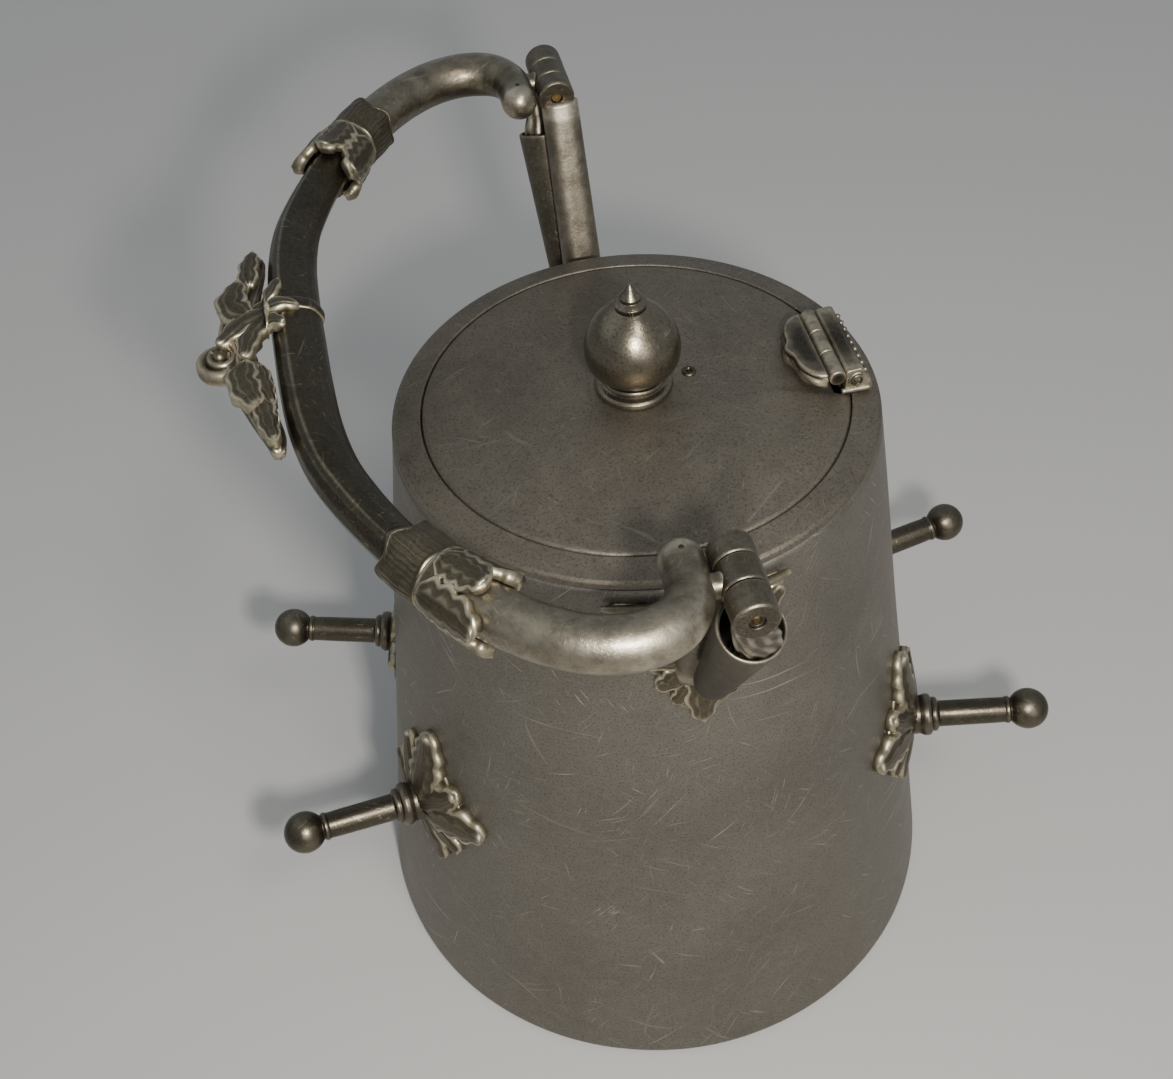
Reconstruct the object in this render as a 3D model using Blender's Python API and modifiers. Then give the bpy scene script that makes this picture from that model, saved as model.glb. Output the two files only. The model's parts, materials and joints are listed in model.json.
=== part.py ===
"""Lidded pewter serving can with a swing handle, four side pegs and cast leaf mounts.

Metres, +Z up.  The base stands on Z = 0 and the body axis is the Z axis.  +X points to the lid hinge,
the handle swings about an axis along Y and lies over to -X in the rest pose.
"""
import math

import bmesh
import bpy
from mathutils import Matrix, Vector

MM = 0.001

# ---------------------------------------------------------------- sizes
GAP = 0.3 * MM                     # clearance left between pieces that touch
ROUND = 56                         # facets round the body

FRONT, BACK = -1.0, 1.0

BODY_HEIGHT = 193.8 * MM           # base to the outer edge of the shoulder
BODY_TOP_RADIUS = 65.0 * MM
BODY_BASE_RADIUS = 90.3 * MM
WALL = 1.6 * MM
BASE_THICKNESS = 1.8 * MM

SHOULDER_WIDTH = 8.0 * MM
SEAM_RADIUS = BODY_TOP_RADIUS - SHOULDER_WIDTH     # joint between the lid and the shoulder ring
SHOULDER_RISE = 2.0 * MM           # the shoulder slopes up to the seam
LID_RISE = 6.0 * MM                # crown of the lid above the shoulder's outer edge
LID_THICKNESS = 1.6 * MM
SEAT_WIDTH = 2.6 * MM              # ledge the lid sits on
SEAT_THICKNESS = 1.4 * MM

KNOB_FOOT_RADIUS = 10.3 * MM
KNOB_WAIST_RADIUS = 7.4 * MM
KNOB_FOOT_HEIGHT = 4.6 * MM
KNOB_BULB_RADIUS = 12.6 * MM
KNOB_COLLAR_RADIUS = 4.2 * MM
KNOB_BULB_HEIGHT = 21.6 * MM
FINIAL_HEIGHT = 6.8 * MM

VENT_X = 15.4 * MM
VENT_Y = 1.9 * MM
VENT_HOLE_RADIUS = 0.9 * MM
VENT_RING_RADIUS = 1.9 * MM

LID_AXIS_INSET = 5.4 * MM
LID_AXIS_X = SEAM_RADIUS - LID_AXIS_INSET          # pin line of the lid hinge
LID_AXIS_RISE = 7.4 * MM           # above the shoulder's outer edge
LID_HINGE_LENGTH = 27.0 * MM
LID_KNUCKLE_RADIUS = 2.3 * MM
LID_PIN_RADIUS = 1.0 * MM
SHIELD_REACH = 10.0 * MM           # shield plate, pin line to its tip
RIM_LEAF_REACH = 7.0 * MM

PEG_TURN = math.radians(-2.75)     # the peg set is turned slightly from the hinge line
PEG_ROOT_ANGLE = math.radians(24.25)
PEG_AXIS_ANGLE = math.radians(11.0)
PEG_HEIGHT = 78.5 * MM
PEG_TILT = math.radians(4.6)
PEG_REACH = 38.2 * MM              # wall surface to the centre of the ball
PEG_ROD_RADIUS = 3.95 * MM
PEG_BALL_RADIUS = 6.2 * MM
PEG_COLLAR_RADIUS = 6.4 * MM
PEG_COLLAR_LENGTH = 3.4 * MM
PEG_COLLAR_START = 7.2 * MM        # from the wall surface, under the boss of the leaf
PEG_LEAF_RELIEF = 6.0 * MM
PEG_LEAF_EDGE = 1.5 * MM

PIVOT_RISE = 38.5 * MM             # handle pivot above the shoulder's outer edge
KNUCKLE_RADIUS = 5.2 * MM
POST_STAND = 25.6 * MM             # inner knuckle out from the shoulder's outer edge
INNER_KNUCKLE = 6.5 * MM
MIDDLE_KNUCKLE = 7.8 * MM
OUTER_KNUCKLE = 7.9 * MM
PIVOT_INNER = BODY_TOP_RADIUS + POST_STAND         # from the body axis along the pivot line
PIVOT_JOINT_A = PIVOT_INNER + INNER_KNUCKLE
PIVOT_JOINT_B = PIVOT_JOINT_A + MIDDLE_KNUCKLE
PIVOT_OUTER = PIVOT_JOINT_B + OUTER_KNUCKLE
PIVOT_PIN_RADIUS = 1.5 * MM
PIN_RECESS = 1.0 * MM

ARM_OFFSET_X = 1.4 * MM            # upright, off the pivot plane
ARM_HALF_WIDTH = 6.0 * MM
ARM_HALF_DEPTH = 4.2 * MM
ARM_TOP_OUT = PIVOT_INNER + 1.7 * MM               # upright centre at the underside of the knuckle
ARM_FOOT_OUT = BODY_TOP_RADIUS + 3.6 * MM
ARM_FOOT_DROP = 28.0 * MM          # foot centre below the shoulder's outer edge
SOCKET_OFFSET_X = -2.6 * MM
SOCKET_TOP_RISE = 22.0 * MM
SOCKET_TOP_RADIUS = 8.0 * MM
SOCKET_FOOT_RADIUS = 4.8 * MM
SOCKET_LENGTH = 44.0 * MM
SOCKET_TOE = {FRONT: math.radians(-5.2), BACK: 0.0}   # the front socket leans in to its upright's foot
SOCKET_WALL = 1.2 * MM
WEB_HALF_WIDTH = 5.6 * MM          # web that fills most of the socket's mouth
WEB_HALF_DEPTH = 4.2 * MM
FOOT_CLEAR = 3.4 * MM              # the uprights stop this far off the wall, on the leaf

POST_LEAF_DROP = 24.3 * MM          # root of the post's leaf below the shoulder's outer edge
POST_LEAF_HEIGHT = BODY_HEIGHT - POST_LEAF_DROP
POST_LEAF_TOP_HALF = 25.0 * MM
POST_LEAF_UP = 19.0 * MM
POST_LEAF_DOWN = 22.0 * MM
POST_LEAF_RELIEF = 2.7 * MM
POST_LEAF_EDGE = 1.4 * MM

HANDLE_TUBE_RADIUS = 6.2 * MM
HANDLE_END_RADIUS = 5.1 * MM
GRIP_HALF_WIDTH = 6.5 * MM
GRIP_HALF_HEIGHT = 6.4 * MM
CUFF_SWELL = 2.2 * MM
CUFF_RADIUS = HANDLE_TUBE_RADIUS + CUFF_SWELL
CUFF_LENGTH = 12.5 * MM
FERRULE_LENGTH = 16.0 * MM
SCROLL_TUBE_RADIUS = 3.4 * MM

# centre line of the handle in its own plane, from a knuckle round to the middle:
# (distance from the pivot line, distance along the pivot line), drawn for a joint at LINE_JOINT
LINE_JOINT = 97.1 * MM
LINE_START = 10.8 * MM
HANDLE_CLEAR = 0.5 * MM            # between the round end and the knuckles beside it
HANDLE_LINE = [(10.8, 92.0), (10.8, 97.5), (12.0, 103.8), (16.6, 109.2), (24.5, 111.3), (33.5, 109.6),
               (42.0, 104.8), (49.3, 98.4), (55.4, 91.4), (60.8, 84.0), (65.8, 76.0), (70.5, 67.0),
               (75.2, 56.5), (79.2, 45.0), (81.6, 31.0), (82.4, 15.5), (82.5, 0.0)]

TOP = BODY_HEIGHT
PIVOT_Z = TOP + PIVOT_RISE
LID_AXIS_Z = TOP + LID_AXIS_RISE


# ---------------------------------------------------------------- scene and small helpers
for old in list(bpy.data.objects):
    bpy.data.objects.remove(old, do_unlink=True)

scene = bpy.context.scene
parts = bpy.data.collections.new("serving_can")
scene.collection.children.link(parts)
cutters = bpy.data.collections.new("cutters")
scene.collection.children.link(cutters)


def material(name, rgb, rough, metal=1.0):
    """Principled material with a plain colour."""
    mat = bpy.data.materials.new(name)
    mat.use_nodes = True
    shader = mat.node_tree.nodes["Principled BSDF"]
    shader.inputs["Base Color"].default_value = (rgb[0], rgb[1], rgb[2], 1.0)
    shader.inputs["Roughness"].default_value = rough
    shader.inputs["Metallic"].default_value = metal
    return mat


def empty(name, location=(0, 0, 0), turn=0.0, parent=None):
    """Empty used as the frame of a group of pieces."""
    obj = bpy.data.objects.new(name, None)
    obj.location = location
    obj.rotation_euler = (0, 0, turn)
    obj.parent = parent
    parts.objects.link(obj)
    return obj


def place(name, mesh, mat, location=(0, 0, 0), rotation=(0, 0, 0), parent=None, smooth=True):
    """Object for a mesh, with its own material slot."""
    obj = bpy.data.objects.new(name, mesh)
    obj.location = location
    obj.rotation_euler = rotation
    obj.parent = parent
    parts.objects.link(obj)
    if not mesh.materials:
        mesh.materials.append(mat)
    for face in mesh.polygons:
        face.use_smooth = smooth
    return obj


def as_cutter(obj):
    """Move an object out of the assembly: it only shapes other pieces."""
    for col in list(obj.users_collection):
        col.objects.unlink(obj)
    cutters.objects.link(obj)
    obj.hide_render = True
    obj.display_type = 'WIRE'
    return obj


def boolean(obj, other, operation):
    """Exact boolean with a cutter object."""
    mod = obj.modifiers.new(operation.lower() + "_" + other.name, 'BOOLEAN')
    mod.operation = operation
    mod.object = other
    mod.solver = 'EXACT'
    return mod


def turned(name, profile, mat, steps=64, **where):
    """Turned piece: the (radius, height) profile runs down the outer side and is spun about Z."""
    bm = bmesh.new()
    points = [bm.verts.new((r, 0.0, z)) for r, z in profile]
    for a, b in zip(points, points[1:]):
        bm.edges.new((a, b))
    if profile[0][0] > 0.0 and profile[-1][0] > 0.0:
        bm.edges.new((points[-1], points[0]))
    mesh = bpy.data.meshes.new(name)
    bm.to_mesh(mesh)
    bm.free()
    obj = place(name, mesh, mat, **where)
    mod = obj.modifiers.new("turn", 'SCREW')
    mod.axis = 'Z'
    mod.steps = steps
    mod.render_steps = steps
    mod.use_merge_vertices = True
    mod.merge_threshold = 0.00005
    mod.use_smooth_shade = True
    return obj


def cylinder(name, radius, length, mat, steps=40, axis='Z', center=(0, 0, 0), **where):
    """Plain cylinder centred on a point, its axis along X, Y or Z of its own frame."""
    bm = bmesh.new()
    bmesh.ops.create_cone(bm, cap_ends=True, segments=steps, radius1=radius, radius2=radius, depth=length)
    turn = {'X': Matrix.Rotation(math.pi / 2, 4, 'Y'), 'Y': Matrix.Rotation(math.pi / 2, 4, 'X'),
            'Z': Matrix.Identity(4)}[axis]
    bmesh.ops.transform(bm, matrix=Matrix.Translation(center) @ turn, verts=bm.verts)
    mesh = bpy.data.meshes.new(name)
    bm.to_mesh(mesh)
    bm.free()
    return place(name, mesh, mat, **where)


def box(name, low, high, mat, **where):
    """Box between two corners."""
    bm = bmesh.new()
    bmesh.ops.create_cube(bm, size=1.0)
    size = [b - a for a, b in zip(low, high)]
    mid = [(a + b) / 2 for a, b in zip(low, high)]
    bmesh.ops.transform(bm, matrix=Matrix.Translation(mid) @ Matrix.Diagonal((*size, 1.0)), verts=bm.verts)
    mesh = bpy.data.meshes.new(name)
    bm.to_mesh(mesh)
    bm.free()
    return place(name, mesh, mat, smooth=False, **where)


def smooth_path(points, per_span):
    """Catmull-Rom curve through the points, per_span steps between neighbours."""
    ext = [2 * points[0] - points[1]] + list(points) + [2 * points[-1] - points[-2]]
    out = []
    for p0, p1, p2, p3 in zip(ext, ext[1:], ext[2:], ext[3:]):
        for k in range(per_span):
            t = k / per_span
            out.append(0.5 * (2 * p1 + (p2 - p0) * t + (2 * p0 - 5 * p1 + 4 * p2 - p3) * t ** 2
                              + (3 * p1 - p0 - 3 * p2 + p3) * t ** 3))
    out.append(points[-1])
    return out


def swept(name, path, section, up, mat, around=16, **where):
    """Solid swept along a path.

    section(fraction, angle) gives (side, height) offsets; side is measured along tangent x up.
    """
    bm = bmesh.new()
    bmesh.ops.create_grid(bm, x_segments=around, y_segments=len(path) - 1, size=1.0)
    for vert in bm.verts:
        frac = (vert.co.y + 1.0) / 2.0
        angle = math.pi * (vert.co.x + 1.0)
        i = round(frac * (len(path) - 1))
        a = path[max(i - 1, 0)]
        b = path[min(i + 1, len(path) - 1)]
        side = (b - a).normalized().cross(up).normalized()
        du, dv = section(frac, angle)
        vert.co = path[i] + side * du + up * dv
    bmesh.ops.remove_doubles(bm, verts=bm.verts, dist=0.00002)
    bmesh.ops.holes_fill(bm, edges=[e for e in bm.edges if e.is_boundary], sides=0)
    face_out(bm)
    mesh = bpy.data.meshes.new(name)
    bm.to_mesh(mesh)
    bm.free()
    return place(name, mesh, mat, **where)


def face_out(bm):
    """Turn every face of a closed mesh outwards."""
    bmesh.ops.recalc_face_normals(bm, faces=bm.faces)
    if bm.calc_volume(signed=True) < 0.0:
        bmesh.ops.reverse_faces(bm, faces=bm.faces)


def wall_radius(z):
    """Outer radius of the tapered body at height z."""
    return BODY_BASE_RADIUS + (BODY_TOP_RADIUS - BODY_BASE_RADIUS) * z / BODY_HEIGHT


def wall_cone(name, stand_off, low, high):
    """Cutter with the shape of the body swollen by stand_off."""
    cone = turned(name, [(0.0, high), (wall_radius(high) + stand_off, high),
                         (wall_radius(low) + stand_off, low), (0.0, low)], pewter, steps=ROUND)
    return as_cutter(cone)


# ---------------------------------------------------------------- materials
pewter = material("rolled_pewter", (0.155, 0.143, 0.128), 0.36)
pewter_lid = material("rolled_pewter_lid", (0.150, 0.137, 0.122), 0.38)
pewter_cast = material("cast_pewter", (0.205, 0.185, 0.155), 0.34)
pewter_relief = material("cast_pewter_relief", (0.225, 0.195, 0.150), 0.42)
pewter_turned = material("turned_pewter", (0.240, 0.220, 0.190), 0.28)
pin_metal = material("brass_pin", (0.330, 0.250, 0.120), 0.35)

can = empty("serving_can")
lid_frame = empty("lid_axis", (LID_AXIS_X, 0, LID_AXIS_Z), parent=can)
handle_frame = empty("handle_axis", (0, 0, PIVOT_Z), parent=can)
peg_frame = empty("peg_set", (0, 0, 0), PEG_TURN, parent=can)

# ---------------------------------------------------------------- body
wall_top = TOP - SEAT_THICKNESS - 0.5 * MM
body = turned("body_wall", [
    (wall_radius(wall_top), wall_top),
    (wall_radius(0.8 * MM), 0.8 * MM),
    (BODY_BASE_RADIUS - 0.5 * MM, 0.0),
    (BODY_BASE_RADIUS - WALL, 0.0),
    (wall_radius(wall_top) - WALL, wall_top),
], pewter, steps=ROUND, parent=can)

base = turned("base_disc", [
    (0.0, BASE_THICKNESS), (BODY_BASE_RADIUS - WALL - GAP - 0.3 * MM, BASE_THICKNESS),
    (BODY_BASE_RADIUS - WALL - GAP, 0.0), (0.0, 0.0),
], pewter, steps=ROUND, parent=can)

seat_z = TOP + 0.1 * MM
seam_z = TOP + SHOULDER_RISE
ring_under = wall_top + GAP
rim_ring = turned("shoulder_ring", [
    (SEAM_RADIUS + GAP / 2, seam_z),
    (BODY_TOP_RADIUS - 2.0 * MM, TOP + 0.62 * MM),
    (BODY_TOP_RADIUS - 0.4 * MM, TOP + 0.05 * MM),
    (BODY_TOP_RADIUS, TOP - 0.5 * MM),
    (wall_radius(ring_under), ring_under),
    (SEAM_RADIUS - SEAT_WIDTH, ring_under),
    (SEAM_RADIUS - SEAT_WIDTH, seat_z - 0.2 * MM),
    (SEAM_RADIUS + GAP / 2, seat_z),
], pewter, steps=ROUND, parent=can)

hinge_half = LID_HINGE_LENGTH / 2
ring_gap = as_cutter(box("ring_hinge_gap", (LID_AXIS_X - 8 * MM, -hinge_half - 1.4 * MM, seat_z - 0.6 * MM),
                         (SEAM_RADIUS + 1.6 * MM, hinge_half + 1.4 * MM, TOP + 12 * MM), pewter))
boolean(rim_ring, ring_gap, 'DIFFERENCE')

# ---------------------------------------------------------------- lid, in the frame of its hinge
lid_drop = -LID_AXIS_Z


def lid_top(r):
    """Height of the lid's crown at radius r."""
    return seam_z + (LID_RISE - SHOULDER_RISE) * (1.0 - (r / SEAM_RADIUS) ** 2)


lid_edge = SEAM_RADIUS - GAP / 2
lid_top_line = [(lid_edge * k / 5, lid_top(lid_edge * k / 5)) for k in range(5)]
lid_under_line = [(r, z - LID_THICKNESS) for r, z in reversed(lid_top_line[::2])]
lid = turned("lid_disc", lid_top_line + [
    (lid_edge - 0.9 * MM, lid_top(lid_edge) + 0.05 * MM),
    (lid_edge, lid_top(lid_edge) - 0.35 * MM),
    (lid_edge, seat_z + GAP),
    (lid_edge - 3.0 * MM, seat_z + GAP),
] + lid_under_line, pewter_lid, steps=ROUND, location=(-LID_AXIS_X, 0, lid_drop), parent=lid_frame)
lid_chord = as_cutter(box("lid_chord", (LID_AXIS_X - 0.2 * MM, -hinge_half - 0.9 * MM, TOP - 10 * MM),
                          (SEAM_RADIUS + 5 * MM, hinge_half + 0.9 * MM, TOP + 12 * MM), pewter))
boolean(lid, lid_chord, 'DIFFERENCE')
lid_relief = as_cutter(box("lid_relief", (LID_AXIS_X - 0.25 * MM, -LID_HINGE_LENGTH, TOP - 11 * MM),
                           (SEAM_RADIUS + 6 * MM, LID_HINGE_LENGTH, seat_z + 1.1 * MM), pewter))
boolean(lid, lid_relief, 'DIFFERENCE')
vent_bore = as_cutter(cylinder("vent_bore", VENT_HOLE_RADIUS, 20 * MM, pewter, steps=16,
                               location=(VENT_X, VENT_Y, TOP)))
boolean(lid, vent_bore, 'DIFFERENCE')

vent_z = lid_top(math.hypot(VENT_X, VENT_Y)) + GAP
turned("vent_eyelet", [
    (VENT_HOLE_RADIUS, vent_z + 0.7 * MM), (VENT_RING_RADIUS - 0.3 * MM, vent_z + 0.7 * MM),
    (VENT_RING_RADIUS, vent_z + 0.4 * MM), (VENT_RING_RADIUS, vent_z + 0.12 * MM),
    (VENT_HOLE_RADIUS, vent_z + 0.12 * MM),
], pewter_turned, steps=16, location=(VENT_X - LID_AXIS_X, VENT_Y, lid_drop), parent=lid_frame)

knob_z = TOP + LID_RISE + GAP
knob_at = (-LID_AXIS_X, 0, lid_drop)
turned("knob_foot", [
    (0.0, knob_z + KNOB_FOOT_HEIGHT), (KNOB_WAIST_RADIUS + 0.9 * MM, knob_z + KNOB_FOOT_HEIGHT),
    (KNOB_WAIST_RADIUS + 0.5 * MM, knob_z + KNOB_FOOT_HEIGHT - 0.6 * MM),
    (KNOB_WAIST_RADIUS, knob_z + KNOB_FOOT_HEIGHT - 1.4 * MM),
    (KNOB_WAIST_RADIUS + 0.6 * MM, knob_z + 2.4 * MM), (KNOB_FOOT_RADIUS - 0.4 * MM, knob_z + 1.5 * MM),
    (KNOB_FOOT_RADIUS, knob_z + 0.7 * MM),
    (KNOB_FOOT_RADIUS - 0.2 * MM, knob_z), (0.0, knob_z),
], pewter_turned, steps=36, location=knob_at, parent=lid_frame)

bulb_z = knob_z + KNOB_FOOT_HEIGHT + GAP
bulb_line = [(0.0, bulb_z + KNOB_BULB_HEIGHT), (KNOB_COLLAR_RADIUS - 0.3 * MM, bulb_z + KNOB_BULB_HEIGHT)]
for step in range(1, 9):
    turn = step / 8
    wide = math.sin(math.pi * (0.10 + 0.74 * turn)) ** 0.92
    bulb_line.append((KNOB_BULB_RADIUS * wide, bulb_z + KNOB_BULB_HEIGHT * (1 - turn) ** 0.93 * 0.985))
turned("knob_bulb", bulb_line + [(0.0, bulb_z)], pewter_turned, steps=36, location=knob_at,
       parent=lid_frame)

finial_z = bulb_z + KNOB_BULB_HEIGHT + GAP
turned("knob_finial", [
    (0.0, finial_z + FINIAL_HEIGHT), (0.6 * MM, finial_z + FINIAL_HEIGHT - 0.5 * MM),
    (2.2 * MM, finial_z + 3.9 * MM), (3.0 * MM, finial_z + 2.6 * MM), (3.1 * MM, finial_z + 1.5 * MM),
    (KNOB_COLLAR_RADIUS - 0.2 * MM, finial_z + 1.3 * MM), (KNOB_COLLAR_RADIUS, finial_z + 0.7 * MM),
    (KNOB_COLLAR_RADIUS - 0.3 * MM, finial_z), (0.0, finial_z),
], pewter_turned, steps=24, location=knob_at, parent=lid_frame)


# ---------------------------------------------------------------- lid hinge
def shield_edge(angle):
    """Reach of the shield plate from the middle of its straight side: an ogee that comes to a soft tip."""
    along = math.cos(angle)
    across = abs(math.sin(angle))
    width = hinge_half - 0.3 * MM
    depth = SHIELD_REACH - LID_KNUCKLE_RADIUS
    swell = 1.0 - 0.13 * math.sin(math.pi * across) ** 2
    return swell / math.sqrt((along / depth) ** 2 + (across / width) ** 2)


def half_plate(name, reach, low, high, mat, start_x, **where):
    """Plate on the -X side of start_x whose outline is reach(angle) about its origin."""
    around = 36
    bm = bmesh.new()
    bmesh.ops.create_cone(bm, cap_ends=True, segments=around, radius1=1.0, radius2=1.0, depth=1.0)
    for vert in bm.verts:
        place_in_turn = round(math.atan2(vert.co.y, vert.co.x) % (2 * math.pi) * around / (2 * math.pi))
        angle = math.pi / 2 + math.pi * (place_in_turn % around) / (around - 1)
        size = reach(angle)
        top = vert.co.z > 0
        vert.co = (start_x + math.cos(angle) * size, math.sin(angle) * size, high if top else low)
    face_out(bm)
    mesh = bpy.data.meshes.new(name)
    bm.to_mesh(mesh)
    bm.free()
    return place(name, mesh, mat, **where)


shield_low = lid_top(LID_AXIS_X - SHIELD_REACH) + GAP - LID_AXIS_Z
shield_top = 1.9 * MM
knuckle_span = LID_HINGE_LENGTH / 3
shield_x = -LID_KNUCKLE_RADIUS - 0.35 * MM
shield = half_plate("lid_hinge_shield", shield_edge, shield_low, shield_top, pewter_cast, shield_x,
                    parent=lid_frame)
centre_knuckle = as_cutter(cylinder("lid_knuckle_mid", LID_KNUCKLE_RADIUS, knuckle_span - GAP, pewter_cast,
                                    axis='Y', steps=20, location=(LID_AXIS_X, 0, LID_AXIS_Z)))
web_half = knuckle_span / 2 - 0.4 * MM
mid_web = as_cutter(box("lid_knuckle_web", (LID_AXIS_X - 4.4 * MM, -web_half, LID_AXIS_Z - 1.8 * MM),
                        (LID_AXIS_X - 1.3 * MM, web_half, LID_AXIS_Z + 1.1 * MM), pewter_cast))
boolean(shield, mid_web, 'UNION')
boolean(shield, centre_knuckle, 'UNION')
lid_pin_bore = as_cutter(cylinder("lid_pin_bore", LID_PIN_RADIUS + GAP, LID_HINGE_LENGTH * 2, pewter_cast,
                                  axis='Y', steps=20, location=(LID_AXIS_X, 0, LID_AXIS_Z)))
boolean(shield, lid_pin_bore, 'DIFFERENCE')

leaf_x = LID_AXIS_X + LID_KNUCKLE_RADIUS + 0.35 * MM
rim_leaf = box("rim_hinge_leaf", (leaf_x, -hinge_half, seat_z),
               (leaf_x + RIM_LEAF_REACH, hinge_half, LID_AXIS_Z + 1.7 * MM), pewter_cast, parent=can)
bevel = rim_leaf.modifiers.new("soft_edges", 'BEVEL')
bevel.width = 0.6 * MM
bevel.segments = 2
ring_relief = turned("ring_relief", [
    (SEAM_RADIUS - 4 * MM, seam_z + 2 * GAP), (SEAM_RADIUS + 1.0 * MM, seam_z + 2 * GAP),
    (BODY_TOP_RADIUS + 2 * MM, TOP + 0.2 * MM + 2 * GAP), (BODY_TOP_RADIUS + 2 * MM, TOP - 8 * MM),
    (SEAM_RADIUS + 1.0 * MM, TOP - 8 * MM), (SEAM_RADIUS + 1.0 * MM, TOP - 7 * MM),
    (SEAM_RADIUS - 4 * MM, TOP - 7 * MM),
], pewter, steps=ROUND)
as_cutter(ring_relief)
ring_relief.location.x = 2.2 * MM
boolean(rim_leaf, ring_relief, 'DIFFERENCE')
for side, label in ((FRONT, "front"), (BACK, "back")):
    y_in = side * (knuckle_span / 2 + GAP / 2)
    y_out = side * (hinge_half - 0.15 * MM)
    inset = side * 0.25 * MM
    y_mid = (y_in + y_out) / 2
    knuckle = as_cutter(cylinder("rim_knuckle_" + label, LID_KNUCKLE_RADIUS, abs(y_out - y_in), pewter_cast,
                                 axis='Y', steps=20, location=(LID_AXIS_X, y_mid, LID_AXIS_Z)))
    web = as_cutter(box("rim_knuckle_web_" + label,
                        (LID_AXIS_X + 1.3 * MM, min(y_in + inset, y_out - inset), LID_AXIS_Z - 1.8 * MM),
                        (leaf_x + 1.7 * MM, max(y_in + inset, y_out - inset), LID_AXIS_Z + 1.1 * MM),
                        pewter_cast))
    boolean(rim_leaf, web, 'UNION')
    boolean(rim_leaf, knuckle, 'UNION')
boolean(rim_leaf, lid_pin_bore, 'DIFFERENCE')
cylinder("lid_hinge_pin", LID_PIN_RADIUS, LID_HINGE_LENGTH - 0.6 * MM, pin_metal, axis='Y', steps=24,
         location=(LID_AXIS_X, 0, LID_AXIS_Z), parent=can)


# ---------------------------------------------------------------- leaf mounts on the wall
def spoke(table, angle):
    """Reach at an angle, eased between the (degrees, reach) entries round the full circle."""
    deg = math.degrees(angle) % 360.0
    for (a, ra), (b, rb) in zip(table, table[1:] + [(table[0][0] + 360.0, table[0][1])]):
        if a <= deg <= b:
            t = (1 - math.cos(math.pi * (deg - a) / (b - a))) / 2
            return (ra + (rb - ra) * t) * MM
    return table[0][1] * MM


def wall_leaf(name, reach, relief, edge, z0, mat, hand, around=32, rings=6, **where):
    """Lobed plate wrapped on the tapered wall.

    reach(angle) is its outline about the root point, angle from straight up, turning with hand; the
    front swells to relief in the middle and drops to edge at the rim; the back follows the wall.
    The mesh is built on the +X side with its origin on the wall.
    """
    bm = bmesh.new()
    bmesh.ops.create_uvsphere(bm, u_segments=around, v_segments=rings, radius=1.0)
    root = wall_radius(z0)
    for vert in bm.verts:
        angle = math.atan2(vert.co.y, vert.co.x)
        flat = math.hypot(vert.co.x, vert.co.y)
        out = min(1.0, flat * 1.02) if flat > 0.99 else flat
        size = reach(angle) * out
        u = hand * size * math.sin(angle)
        v = size * math.cos(angle)
        if vert.co.z > 0.02:
            lift = GAP + edge + (relief - edge) * (1.0 - out ** 2) ** 1.5
        elif vert.co.z < -0.02:
            lift = GAP
        else:
            lift = GAP + edge * 0.5
        z = z0 + v
        r = wall_radius(z) + lift
        a = u / root
        vert.co = (r * math.cos(a) - root, r * math.sin(a), v)
    face_out(bm)
    mesh = bpy.data.meshes.new(name)
    bm.to_mesh(mesh)
    bm.free()
    return place(name, mesh, mat, **where)


PEG_LEAF_OUTLINE = [(0, 30.0), (14, 28.0), (31, 22.0), (50, 25.0), (76, 27.0), (95, 17.5), (112, 17.0),
                    (128, 13.5), (150, 17.5), (166, 18.0), (182, 13.0), (215, 15.0), (240, 13.0),
                    (284, 20.0), (318, 17.5), (345, 26.0)]
POST_LEAF_OUTLINE = [(0, 19.0), (30, 22.0), (52.5, 31.4), (75, 21.5), (96, 17.2), (112, 14.0),
                     (130, 13.2), (150, 15.0), (168, 20.5), (180, 22.0), (192, 20.5), (210, 15.0),
                     (230, 13.2), (248, 14.0), (264, 17.2), (285, 21.5), (307.5, 31.4), (330, 22.0)]

# keeps the backs of the leaves off the wall whatever its taper
leaf_clear = wall_cone("leaf_clear", GAP * 0.15, BASE_THICKNESS, TOP)

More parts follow.
